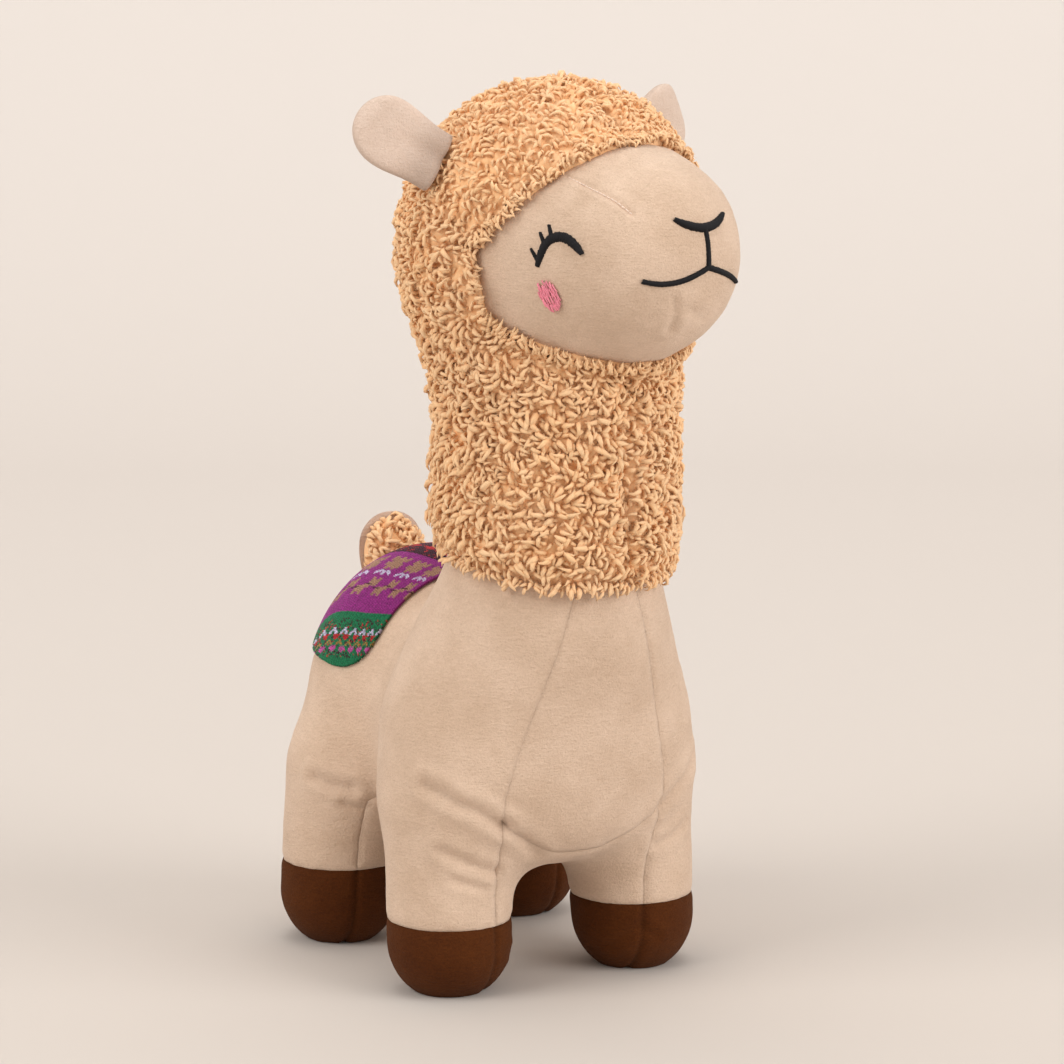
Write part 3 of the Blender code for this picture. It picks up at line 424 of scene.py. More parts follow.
def column(p):
    """Neck and head without the muzzle: what the fleece lies on."""
    neck = limb(turned(p, 0.0), (0, 0, NECK_BASE_Z), (0, 0, NECK_TOP_Z), NECK_BASE_RADIUS, NECK_TOP_RADIUS)
    return smooth_min(neck, ellipsoid(to_head(p), (0, 0, 0), HEAD_HALF), NECK_BLEND)


def skin(p):
    """Distance to the outer face of the sewn skin, without the fleece's pile."""
    m = np.stack([np.abs(p[:, 0]), p[:, 1], p[:, 2]], -1)
    chest = ellipsoid(m, (0, CHEST_Y, CHEST_Z), CHEST_HALF)
    rump = ellipsoid(m, (0, RUMP_Y, RUMP_Z), RUMP_HALF)
    waist = ellipsoid(m, (0, 0, WAIST_Z), WAIST_HALF)
    torso = smooth_min(smooth_min(chest, rump, TORSO_BLEND), waist, TORSO_BLEND)
    body = smooth_max(torso, BELLY_Z - m[:, 2], BELLY_BLEND)
    foot_z = math.sqrt(FOOT_RADIUS ** 2 - SOLE_RADIUS ** 2)
    for hip_y, foot_y in LEGS:
        leg = limb(m, (HIP_X, hip_y, HIP_Z), (FOOT_X, foot_y, foot_z), HIP_RADIUS, FOOT_RADIUS)
        body = smooth_min(body, leg, LEG_BLEND)
    muzzle = ellipsoid(to_head(p), (0, -MUZZLE_REACH, -MUZZLE_DROP), MUZZLE_HALF)
    upper = smooth_min(column(p), muzzle, MUZZLE_BLEND)
    return np.maximum(smooth_min(body, upper, NECK_BLEND), -p[:, 2])


def slope(field, p, step=0.4):
    """Gradient of a field, by central differences."""
    columns = []
    for axis in range(3):
        shift = np.zeros(3)
        shift[axis] = step
        columns.append((field(p + shift) - field(p - shift)) / (2.0 * step))
    return np.stack(columns, -1)


def settle(p, field, rounds=3, level=0.0):
    """Points moved onto the face where the field has this level."""
    for _ in range(rounds):
        g = slope(field, p)
        p = p - (field(p) - level)[:, None] * g / np.maximum((g * g).sum(-1, keepdims=True), 0.05)
    return p


def seat_along(start, direction, field, level):
    """Points slid along one direction onto the face where the field has this level."""
    p = start.copy()
    for _ in range(30):
        p = p - (field(p) - level)[:, None] * direction * 0.8
    return p


# Seams, as functions that are nought on the line where two panels meet

def collar_seam(p):
    return p[:, 2] - COLLAR_Z - COLLAR_RISE * (p[:, 1] - NECK_Y + NECK_BASE_RADIUS)


def hairline(p):
    q = to_head(p)
    around = np.hypot(q[:, 0] / HAIRLINE_HALF[0], (q[:, 2] + HAIRLINE_DROP) / HAIRLINE_HALF[1])
    return np.minimum((1.0 - around) * HAIRLINE_HALF[1], -q[:, 1] - HAIRLINE_BACK)


def mane_seam(p):
    return turned(p, MANE_SEAM_TURN)[:, 0]


def leg_seam(p):
    """The seams down the fronts and the backs of the legs, which the hooves carry on."""
    seam = np.where(p[:, 1] < 0.0, FRONT_LEG_SEAM, REAR_LEG_SEAM)
    return seam - np.abs(p[:, 0])


# Points of the CAD model

def node_mesh(name):
    """Points of a CAD node in millimetres, each once, and its triangles."""
    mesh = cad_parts[name].data
    mesh.calc_loop_triangles()
    points = np.empty(len(mesh.vertices) * 3)
    mesh.vertices.foreach_get("co", points)
    corners = np.empty(len(mesh.loop_triangles) * 3, dtype=np.int32)
    mesh.loop_triangles.foreach_get("vertices", corners)
    points, back = np.unique(points.reshape(-1, 3) / MM, axis=0, return_inverse=True)
    return points, back.reshape(-1)[corners].reshape(-1, 3)


def frame_shift():
    """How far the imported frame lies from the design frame: what lays the body's points on the form."""
    low, high = (np.array(c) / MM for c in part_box("hoof_front_right"))
    other = np.array(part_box("hoof_front_left")[1]) / MM
    shift = np.array([(low[0] + other[0]) / 2, (low[1] + high[1]) / 2 - LEGS[0][1], 0.0])
    names = ("body_side_right", "body_side_left", "chest_panel")
    points = np.vstack([node_mesh(name)[0] for name in names])
    for _ in range(4):
        q = points - shift
        away = skin(q)
        outer = np.abs(away) < VELOUR / 2
        shift = shift + np.linalg.lstsq(slope(skin, q[outer]), away[outer], rcond=None)[0]
    return shift


SHIFT = frame_shift()


def place(p):
    return (np.asarray(p, float) + SHIFT) * MM


# Mesh making

def finer(points, faces):
    """Each triangle parted into four, with new points in the middles of the edges."""
    count = len(points)
    ends = np.sort(faces[:, [0, 1, 1, 2, 2, 0]].reshape(-1, 2), axis=1)
    keys, back = np.unique(ends[:, 0] * count + ends[:, 1], return_inverse=True)
    middle = (points[keys // count] + points[keys % count]) / 2
    ab, bc, ca = (count + back.reshape(-1, 3)).T
    a, b, c = faces.T
    parts = [(a, ab, ca), (b, bc, ab), (c, ca, bc), (ab, bc, ca)]
    return np.vstack([points, middle]), np.vstack([np.stack(part, 1) for part in parts])


def rim_of(faces):
    """The edges that only one face has, in that face's own direction."""
    count = faces.max() + 1
    ends = faces[:, [0, 1, 1, 2, 2, 0]].reshape(-1, 2)
    low = np.sort(ends, axis=1)
    _, first, times = np.unique(low[:, 0] * count + low[:, 1], return_index=True, return_counts=True)
    return ends[first[times == 1]]


def surface(name, levels):
    """The outer face of a CAD cloth, laid on the smooth form with ever finer triangles."""
    points, faces = node_mesh(name)
    points = points - SHIFT
    outer = skin(points) > -VELOUR / 2
    faces = faces[outer[faces].all(1)]
    used, back = np.unique(faces, return_inverse=True)
    points = settle(points[used], skin, 5)
    faces = back.reshape(-1, 3)
    for _ in range(levels):
        points, faces = finer(points, faces)
        points = settle(points, skin, 2)
    return points, faces


def rim_distance(points, faces):
    """How far each point lies from the edge of its cloth."""
    rim = rim_of(faces)
    spots = np.vstack([points[rim[:, 0]], points[rim].mean(1)])
    tree = KDTree(len(spots))
    for i, spot in enumerate(spots):
        tree.insert(spot, i)
    tree.balance()
    return np.array([tree.find(p)[2] for p in points])


def with_hem(points, faces, normals, depth):
    """The same cloth with its edge turned in."""
    rim = rim_of(faces)
    edge, back = np.unique(rim, return_inverse=True)
    low = points[edge] - normals[edge] * depth
    below = len(points) + back.reshape(-1, 2)
    a, b = rim.T
    walls = [np.stack([b, a, below[:, 0]], 1), np.stack([b, below[:, 0], below[:, 1]], 1)]
    return np.vstack([points, low]), np.vstack([faces, *walls]), edge


def add_mesh(name, points, faces, look, tone=None, uv=None):
    """A piece from points in millimetres and faces of equal corner count, shaded smooth."""
    faces = np.asarray(faces)
    mesh = bpy.data.meshes.new(name)
    mesh.vertices.add(len(points))
    mesh.vertices.foreach_set("co", place(points).ravel())
    mesh.loops.add(faces.size)
    mesh.loops.foreach_set("vertex_index", faces.ravel())
    mesh.polygons.add(len(faces))
    mesh.polygons.foreach_set("loop_start", np.arange(0, faces.size, faces.shape[1]))
    mesh.update(calc_edges=True)
    mesh.polygons.foreach_set("use_smooth", np.ones(len(faces), dtype=bool))
    if tone is not None:
        layer = mesh.color_attributes.new("tone", "FLOAT_COLOR", "POINT")
        tone = np.asarray(tone, float)
        rgb = np.repeat(tone[:, None], 3, axis=1) if tone.ndim == 1 else tone
        layer.data.foreach_set("color", np.hstack([rgb, np.ones((len(rgb), 1))]).ravel())
    if uv is not None:
        layer = mesh.uv_layers.new(name="along")
        layer.uv.foreach_set("vector", np.asarray(uv, float)[faces.ravel()].ravel())
    mesh.materials.append(look)
    made = bpy.data.objects.new(name, mesh)
    bpy.context.scene.collection.objects.link(made)
    return made


def finish_piece(piece, nodes):
    """What the frame needs to know of a piece, and the CAD nodes that it stands for."""
    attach(piece, "root")
    if nodes:
        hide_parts(*nodes)


# Materials

def put(tree, kind, inputs=None, **settings):
    """A shader node with its settings, and its inputs as values or as other nodes' sockets."""
    made = tree.nodes.new(kind)
    for name, value in settings.items():
        setattr(made, name, value)
    for key, value in (inputs or {}).items():
        if isinstance(value, bpy.types.NodeSocket):
            tree.links.new(value, made.inputs[key])
        else:
            made.inputs[key].default_value = value
    return made


def new_look(name):
    """A new material with its node tree, its main shader and the place on the object."""
    look = bpy.data.materials.new(name)
    look.use_nodes = True
    tree = look.node_tree
    shader = tree.nodes["Principled BSDF"]
    spot = put(tree, "ShaderNodeTexCoord").outputs["Object"]
    return look, tree, shader, spot


def fine_noise(tree, spot, scale, detail=3.0, stretch=(1.0, 1.0, 1.0), rough=0.6):
    """Noise with this many features a metre, closer along the axes with the larger stretch."""
    mapped = put(tree, "ShaderNodeMapping", {"Vector": spot, "Scale": stretch}).outputs["Vector"]
    inputs = {"Vector": mapped, "Scale": scale, "Detail": detail, "Roughness": rough}
    return put(tree, "ShaderNodeTexNoise", inputs).outputs["Fac"]


def spread(tree, value, to_low, to_high, low=0.3, high=0.7):
    """A value taken from one range, at first the one that noise fills, to another."""
    inputs = {"Value": value, "From Min": low, "From Max": high, "To Min": to_low, "To Max": to_high}
    return put(tree, "ShaderNodeMapRange", inputs).outputs["Result"]


def blend(tree, share, first, second, kind="MIX"):
    inputs = {0: share, 6: first, 7: second}
    return put(tree, "ShaderNodeMix", inputs, data_type="RGBA", blend_type=kind).outputs[2]


def arithmetic(tree, operation, first, second):
    return put(tree, "ShaderNodeMath", {0: first, 1: second}, operation=operation).outputs["Value"]


def tone_of(tree):
    """The colour that a piece carries at its points."""
    return put(tree, "ShaderNodeAttribute", attribute_name="tone").outputs["Color"]


def opaque(colour):
    return (*colour, 1.0)


def dress(tree, shader, colour, relief, strength, depth, settings):
    """Gives the main shader its colour, its fine relief, with its depth in metres, and its settings."""
    tree.links.new(colour, shader.inputs["Base Color"])
    bump = put(tree, "ShaderNodeBump", {"Height": relief, "Strength": strength, "Distance": depth})
    tree.links.new(bump.outputs["Normal"], shader.inputs["Normal"])
    for name, value in settings.items():
        shader.inputs[name].default_value = value


def velour(name, dark, light, sheen, sheen_tint):
    """Short pile: fine nap, brushed streaks that run round the toy, and broad brush marks."""
    look, tree, shader, spot = new_look(name)
    nap = fine_noise(tree, spot, NAP, 3.0, rough=0.75)
    streaks = fine_noise(tree, spot, STREAKS, 3.0, (1.0, 1.0, 4.0))
    brushed = fine_noise(tree, spot, BRUSH_MARKS, 2.0)
    share = arithmetic(tree, "ADD", spread(tree, nap, 0.0, 0.5), spread(tree, streaks, 0.0, 0.25))
    share = arithmetic(tree, "ADD", share, spread(tree, brushed, 0.0, 0.35, 0.35, 0.65))
    colour = blend(tree, share, opaque(dark), opaque(light))
    colour = blend(tree, 1.0, colour, tone_of(tree), "MULTIPLY")
    relief = arithmetic(tree, "ADD", nap, arithmetic(tree, "MULTIPLY", streaks, 0.7))
    dress(tree, shader, colour, relief, 0.6, 0.0012, {
        "Roughness": 0.92,
        "Specular IOR Level": 0.12,
        "Sheen Weight": sheen,
        "Sheen Roughness": 0.45,
        "Sheen Tint": opaque(sheen_tint),
    })
    return look


def fleece(name):
    """Curly pile: painted shade makes it darker and warmer down at the roots, pale at the tips, with fibres
    along each lock.
    """
    look, tree, shader, spot = new_look(name)
    along = put(tree, "ShaderNodeTexCoord").outputs["UV"]
    fibres = fine_noise(tree, along, 1.0, 3.0, (9.0, 2.2, 1.0), 0.7)
    patches = fine_noise(tree, spot, FLEECE_PATCHES, 2.0)
    colour = blend(tree, tone_of(tree), FLEECE_ROOT_PAINTED_SHADE, FLEECE_TIP)
    colour = blend(tree, spread(tree, patches, 0.0, 0.3, 0.35, 0.65), colour, FLEECE_PALE)
    colour = blend(tree, 1.0, colour, spread(tree, fibres, 0.90, 1.06, 0.25, 0.75), "MULTIPLY")
    dress(tree, shader, colour, fibres, 0.5, 0.0006, {
        "Roughness": 0.95,
        "Specular IOR Level": 0.08,
        "Sheen Weight": 0.25,
        "Sheen Roughness": 0.5,
        "Sheen Tint": (1.0, 0.84, 0.66, 1.0),
    })
    return look


def satin_thread(name, colour, rough):
    """Embroidery thread: fine filaments with a soft shine."""
    look, tree, shader, spot = new_look(name)
    strands = fine_noise(tree, spot, THREAD_STRANDS, 2.0)
    shade = blend(tree, 1.0, tone_of(tree), spread(tree, strands, 0.8, 1.15), "MULTIPLY")
    shade = blend(tree, 1.0, opaque(colour), shade, "MULTIPLY")
    dress(tree, shader, shade, strands, 0.4, 0.0002, {"Roughness": rough, "Specular IOR Level": 0.35})
    return look


def woven(name):
    """Knitted wool: the colour of each stitch, with fine hairs."""
    look, tree, shader, spot = new_look(name)
    hairs = fine_noise(tree, spot, WOOL_HAIRS, 3.0)
    colour = blend(tree, 1.0, tone_of(tree), spread(tree, hairs, 0.6, 1.35), "MULTIPLY")
    settings = {"Roughness": 0.85, "Specular IOR Level": 0.2, "Sheen Weight": 0.15}
    dress(tree, shader, colour, hairs, 0.5, 0.0003, settings)
    return look


def loose_filling(name):
    """White polyester fibre, loose and wispy."""
    look, tree, shader, spot = new_look(name)
    fibres = fine_noise(tree, spot, FILLING_FIBRES, 4.0)
    colour = blend(tree, spread(tree, fibres, 0.0, 1.0), (0.70, 0.68, 0.64, 1.0), (0.90, 0.88, 0.85, 1.0))
    dress(tree, shader, colour, fibres, 0.8, 0.002, {"Roughness": 0.95})
    return look


CREAM = velour("cream_velour", (0.56, 0.390, 0.270), (0.79, 0.595, 0.455), 0.3, (1.0, 0.94, 0.88))
EAR_CREAM = velour("ear_velour", (0.62, 0.46, 0.36), (0.78, 0.62, 0.52), 0.3, (1.0, 0.94, 0.88))
BROWN = velour("brown_velour", (0.050, 0.011, 0.002), (0.105, 0.029, 0.005), 0.04, (1.0, 0.72, 0.5))
FLEECE = fleece("caramel_fleece")
DARK = satin_thread("dark_thread", (0.005, 0.004, 0.006), 0.7)
PINK = satin_thread("pink_thread", (0.90, 0.29, 0.38), 0.5)
PALE = satin_thread("pale_thread", (0.86, 0.70, 0.60), 0.6)
WEAVE = woven("woven_wool")
FILLING = loose_filling("filling")


# Short-pile panels

def eased(points, faces, normals):
    """The same points with the cloth's edge eased out to meet its neighbour's."""
    rim = rim_of(faces)
    a, b = rim.T
    outwards = np.cross(points[b] - points[a], normals[a])
    push = np.zeros_like(points)
    np.add.at(push, a, outwards)
    np.add.at(push, b, outwards)
    edge = np.unique(rim)
    points[edge] += unit(push[edge]) * SEAM_CLOSE
    return points


def wrinkles(p):
    """How far creases push the cloth in or out, and how much painted shade darkens them."""
    lift = np.zeros(len(p))
    shade = np.ones(len(p))
    for path, depth, reach in CREASES:
        away = line_distance(p, settle(np.array(path, float), skin))
        if away.min() < 12.0:
            uneven = 1.0 + 0.25 * bumps(p, 5.0, 7)
            lift -= CREASE_DIP * depth * uneven * np.exp(-(away / reach) ** 2)
            lift += CREASE_BANK * depth * np.exp(-((away - BANK_AWAY * reach) / (BANK_WIDE * reach)) ** 2)
            # Painted shade in the bottom of the crease
            shade *= 1.0 - CREASE_PAINTED_SHADE * depth * np.exp(-(away / (0.6 * reach)) ** 2)
    return lift, shade


def hoof_relief(p):
    """The leg's seams run on down the hoof."""
    lift, shade = wrinkles(p)
    away = np.abs(leg_seam(p))
    groove = np.exp(-(away / HOOF_SEAM_REACH) ** 2)
    # Painted shade: a thin darker line down the bottom of the seam's groove
    return lift - HOOF_SEAM_DEPTH * groove, shade * (1.0 - 0.25 * np.exp(-(away / 0.7) ** 2))


def dart_line(side):
    """The line of the dart on one side, -1 for the right, laid on the form."""
    return settle(from_head(np.array(DART, float) * np.array([-side, 1.0, 1.0])), skin)


def face_relief(p):
    """Two puckered darts run from the hairline down towards the nose."""
    lift, shade = wrinkles(p)
    q = to_head(p)
    for side, strength in ((-1.0, 1.0), (1.0, 0.8)):
        away = line_distance(p, dart_line(side))
        pucker = 1.0 + 0.6 * bumps(q, 1.6, 4)
        lift -= strength * DART_DEPTH * pucker * np.exp(-(away / DART_REACH) ** 2)
        lift += strength * DART_BANK * np.exp(-((away - DART_BANK_AWAY) / DART_BANK_WIDE) ** 2)
        shade *= 1.0 + strength * 0.10 * np.exp(-(away / 0.45) ** 2)
    return lift, shade


def velour_panel(name, look, levels, relief):
    """A velour panel: pulled in at its seams, a little uneven, with the relief that is its own."""
    points, faces = surface(name, levels)
    normals = unit(slope(skin, points))
    away = rim_distance(points, faces)
    pull = np.exp(-(away / SEAM_REACH) ** 2)
    lift = -SEAM_DEPTH * pull * (1.0 + SEAM_UNEVEN * bumps(points, SEAM_UNEVEN_SIZE))
    lift += CLOTH_SWELL * bumps(points, CLOTH_SWELL_SIZE, 1) * ramp(away, 0.0, 12.0, 0.0, 1.0)
    lift += CLOTH_UNEVEN * bumps(points, CLOTH_UNEVEN_SIZE, 2)
    extra, shade = relief(points)
    lift += extra
    # Painted shade: the velour is darker in its creases, in the groove along its seams, and on its turned-in
    # hem
    tone = shade * (1.0 - SEAM_PAINTED_SHADE * np.exp(-away ** 2))
    points = points + normals * lift[:, None]
    points[:, 2] = np.maximum(points[:, 2], 0.0)
    points, faces, edge = with_hem(eased(points, faces, normals), faces, normals, HEM_DEPTH)
    tone = np.concatenate([tone, tone[edge] * 0.95])
    finish_piece(add_mesh(f"{name}_velour", points, faces, look, tone), [name])


def make_panels():
    for name in ("body_side_right", "body_side_left", "chest_panel"):
        velour_panel(name, CREAM, PANEL_LEVELS, wrinkles)
    velour_panel("belly_panel", CREAM, PANEL_LEVELS - 1, wrinkles)
    velour_panel("face_panel", CREAM, PANEL_LEVELS, face_relief)
    for end in ("front", "rear"):
        for side in ("right", "left"):
            velour_panel(f"hoof_{end}_{side}", BROWN, PANEL_LEVELS, hoof_relief)


def make_dart(side, rng):
    """The pale thread that shows in short stitches along the pucker of a dart."""
    path = dart_line(-1.0 if side == "right" else 1.0)
    run = np.concatenate([[0.0], np.cumsum(np.linalg.norm(np.diff(path, axis=0), axis=1))])
    lines = []
    start = 0.4
    while start < run[-1] - 1.0:
        end = start + rng.uniform(*DART_STITCH)
        spots = np.linspace(start, end, 5)
        p = settle(np.stack([np.interp(spots, run, path[:, axis]) for axis in range(3)], 1), skin, 3)
        rise = -DART_DEPTH + 0.12 + 0.2 * np.sin(np.linspace(0.0, math.pi, 5))
        lines.append(p + unit(slope(skin, p)) * rise[:, None])
        start = end + rng.uniform(*DART_GAP)
    points, faces = threads(lines, DART_THREAD)
    piece = add_mesh(f"dart_{side}_stitches", points, faces, PALE, np.ones(len(points)))
    finish_piece(piece, [])


def make_filling():
    """The filling, on the same smooth form, just inside the cloth."""
    points, faces = node_mesh("stuffing")
    points = settle(points - SHIFT, skin, 5, -FILLING_DEPTH)
    points, faces = finer(points, faces)
    points = settle(points, skin, 2, -FILLING_DEPTH)
    finish_piece(add_mesh("loose_filling", points, faces, FILLING), ["stuffing"])


# Threads, locks and fibres

def tubes(centre, radius, reference, sides, flatness=1.0):
    """Closed tubes along many lines of points: centre is lines x points x 3."""
    count, rings, _ = centre.shape
    way = unit(np.gradient(centre, axis=1))
    one = unit(np.cross(way, reference))
    two = np.cross(way, one)
    phi = 2 * math.pi * np.arange(sides) / sides
    off = one[:, :, None] * (np.cos(phi) * flatness)[:, None] + two[:, :, None] * np.sin(phi)[:, None]
    points = (centre[:, :, None] + off * radius[:, :, None, None]).reshape(-1, 3)
    pattern = []
    for r in range(rings - 1):
        for k in range(sides):
            a = r * sides + k
            b = r * sides + (k + 1) % sides
            pattern += [(a, b, b + sides), (a, b + sides, a + sides)]
    last = (rings - 1) * sides
    for k in range(1, sides - 1):
        pattern += [(0, k + 1, k), (last, last + k, last + k + 1)]
    each = rings * sides * np.arange(count)[:, None, None]
    return points, (np.array(pattern)[None] + each).reshape(-1, 3)


def threads(lines, radius):
    """Tubes of one radius along lines of points that lie on the form."""
    centre = np.array(lines)
    normals = unit(slope(skin, centre[:, centre.shape[1] // 2]))
    return tubes(centre, np.full(centre.shape[:2], radius), normals[:, None], THREAD_SIDES)


def locks(roots, normals, flow, size, turn, rng):
    """Curled locks: each rises from its root, bends over along the flow and tapers to a tip."""
    count = len(roots)
    s = np.linspace(0.0, 1.0, LOCK_RINGS)[None, :]
    curl = (LOCK_CURL * size * rng.uniform(0.8, 1.25, count))[:, None]
    sway = rng.uniform(-1.3, 1.3, count)[:, None]
    kink = rng.uniform(-0.5, 0.5, count)[:, None]
    angle = -LOCK_ROOT_LEAN + (turn[:, None] + LOCK_ROOT_LEAN) * s
    rise = curl * (np.sin(angle) + 0.68)
    bend = curl * (math.cos(LOCK_ROOT_LEAN) - np.cos(angle))
    aside = curl * (sway * s * s + kink * np.sin(5.0 * s))
    side = np.cross(normals, flow)
    centre = roots[:, None] + normals[:, None] * rise[..., None] + flow[:, None] * bend[..., None]
    centre = centre + side[:, None] * aside[..., None]
    width = LOCK_RADIUS * size[:, None] * (0.75 + 0.5 * np.sin(math.pi * s)) * (1.0 - 0.93 * s ** 2.6)
    twist = rng.uniform(-1.0, 1.0, count)[:, None, None]
    points, faces = tubes(centre, width, side[:, None] + twist * normals[:, None], LOCK_SIDES, LOCK_FLATNESS)
    per = LOCK_RINGS * LOCK_SIDES
    share = np.repeat(np.tile(s[0], count), LOCK_SIDES)
    around = np.tile(np.arange(LOCK_SIDES) / LOCK_SIDES, count * LOCK_RINGS)
    offset = np.repeat(rng.uniform(0.0, 40.0, count), per)
    shade = np.repeat(rng.uniform(0.85, 1.06, count), per)
    # Painted shade: each lock darker towards its root, deep in the pile, and lighter towards its tip; the
    # spread from lock to lock is random
    tone = np.clip((0.3 + 0.7 * np.sin(np.minimum(share * 1.35, 1.0) * math.pi / 2)) * shade, 0.0, 1.0)
    return points, faces, tone, np.stack([around + offset, share * 2.0 + offset], 1)


def wisps(roots, normals, flow, rng):
    """Single fibres that stand out of the fleece."""
    count = len(roots)
    s = np.linspace(0.0, 1.0, WISP_RINGS)[None, :]
    length = rng.uniform(*WISP_LENGTH, count)[:, None]
    lean = rng.uniform(*WISP_LEAN, count)[:, None]
    side = np.cross(normals, flow) * rng.uniform(-1.0, 1.0, count)[:, None]
    centre = roots[:, None] + normals[:, None] * (length * s)[..., None]
    centre = centre + (flow + side)[:, None] * (length * lean * 0.6 * s * s)[..., None]
    radius = np.broadcast_to(WISP_RADIUS * (1.0 - 0.75 * s), (count, WISP_RINGS))
    points, faces = tubes(centre, radius, flow[:, None] + 0.3 * normals[:, None], 3)
    return points, faces, np.full(len(points), 0.9), points[:, [0, 2]]


def sow(points, spacing, rng):
    """A choice of the points that lie no closer than the spacing."""
    cells = {}
    kept = []
    for i in rng.permutation(len(points)):
        p = points[i]
        home = tuple(np.floor(p / spacing).astype(int))
        close = False
        for dx in (-1, 0, 1):
            for dy in (-1, 0, 1):
                for dz in (-1, 0, 1):
                    for j in cells.get((home[0] + dx, home[1] + dy, home[2] + dz), ()):
                        q = points[j]
                        if (p[0] - q[0]) ** 2 + (p[1] - q[1]) ** 2 + (p[2] - q[2]) ** 2 < spacing * spacing:
                            close = True
        if not close:
            cells.setdefault(home, []).append(i)
            kept.append(i)
    return np.array(kept)


# Fleece

def hem_distance(p):
    return np.minimum(collar_seam(p), -hairline(p))


def pile_height(p):
    """How high the fleece stands over the skin: lower at its hems and at the seam down the throat."""
    edge = hem_distance(p)
    height = ramp(edge, 0.0, HEM_ROUNDING, PILE_AT_HEM, PILE)
    seam = np.abs(mane_seam(p))
    front = ramp(turned(p, 0.0)[:, 1], *THROAT_BEHIND, 1.0, 0.35)
    groove = ramp(seam, 0.0, THROAT_REACH, THROAT_DEPTH, 0.0)
    return height - groove * ramp(edge, 0.0, HEM_ROUNDING, 0.35, 1.0) * front


def downward(normals):
    """The way down the surface at each normal."""
    down = np.array([0.0, 0.0, -1.0]) - normals * (-normals[:, 2:3])
    return unit(down + 1e-3)


def combed(p):
    """Where the locks hang straight down: low on the sides and the back of the neck."""
    return ramp(p[:, 1], *COMBED_FROM, 0.0, 1.0) * ramp(p[:, 2], *COMBED_BELOW, 0.0, 1.0)


def flow_at(points, normals, rng):
    """Which way each lock falls: in swirls, straight down where combed, and out over the hems."""
    down = downward(normals)
    aside = np.cross(normals, down)
    swirl = SWIRL_TURN * bumps(points, SWIRL_SIZE, 3) + rng.uniform(-0.9, 0.9, len(points))
    angle = swirl * (1.0 - 0.8 * combed(points))
    flow = down * np.cos(angle)[:, None] + aside * np.sin(angle)[:, None]
    inward = slope(hem_distance, points)
    inward = unit(inward - normals * (inward * normals).sum(1, keepdims=True))
    near = ramp(hem_distance(points), 0.5, 5.0, 1.0, 0.0)
    upper = ramp(to_head(points)[:, 2], -18.0, 8.0, -1.6, -0.5)
    return unit(flow + (near * upper)[:, None] * inward)


def curls(p):
    """Height of the curly pile, from 0 in its creases to 1 on top of its lumps."""
    warp = np.stack([bumps(p, LUMP_SIZE, k) for k in (21, 22, 23)], 1)
    height = np.zeros(len(p))
    for share, bend, fineness, sharpness, seed in CURLS:
        lump = np.abs(bumps(p + bend * warp, LUMP_SIZE / fineness, seed))
        height += share * (1.0 - (1.0 - lump) ** sharpness)
    return height


def add_fleece(name, made):
    """Locks or fibres as a piece of their own on the fleece."""
    points, faces, tone, uv = made
    finish_piece(add_mesh(name, points, faces, FLEECE, tone, uv), [])


def make_ground(name, points, faces):
    """The curly relief under the locks, which spills a little over the hems."""
    normals = unit(slope(skin, points))
    curly = curls(points)
    lift = pile_height(points) - GROUND_DEPTH + LUMP_HEIGHT * (curly - LUMP_MIDDLE)
    edge = hem_distance(points)
    lift = np.maximum(lift, 0.4) - ramp(edge, 0.0, HEM_SLOPE, 0.9, 0.0)
    spill = ramp(edge, 0.0, SPILL_REACH, 1.0, 0.0) * (0.7 + 0.9 * bumps(points, 3.4, 12))
    ground = points + normals * lift[:, None] - unit(slope(hem_distance, points)) * spill[:, None]
    ground, faces, rim = with_hem(ground, faces, normals, GROUND_HEM)
    # Painted shade: the ground is darker down in the creases between its curls, and dark on its turned-in
    # hem
    tone = np.concatenate([0.05 + 0.75 * curly, np.full(len(rim), 0.1)])
    piece = add_mesh(f"{name}_ground", ground, faces, FLEECE, tone, ground[:, [0, 2]] * 0.25)
    finish_piece(piece, [name])


def lock_roots(points, faces, rng):
    """Where the locks stand on the skin: closer along the hems than over the rest."""
    middles = [(points[faces[:, k]] + points[faces[:, k - 1]]) / 2 for k in range(3)]
    spots = np.vstack([points, points[faces].mean(1), *middles])
    spots = spots + rng.normal(0.0, SCATTER, spots.shape)
    edge = hem_distance(spots)
    rim = spots[np.abs(edge) < HEM_BAND]
    rim = rim[sow(rim, HEM_SPACING, rng)]
    field = spots[edge > HEM_BAND]
    roots = np.vstack([rim, field[sow(field, LOCK_SPACING, rng)]])[:LOCK_COUNT]
    return settle(roots, skin, 2)


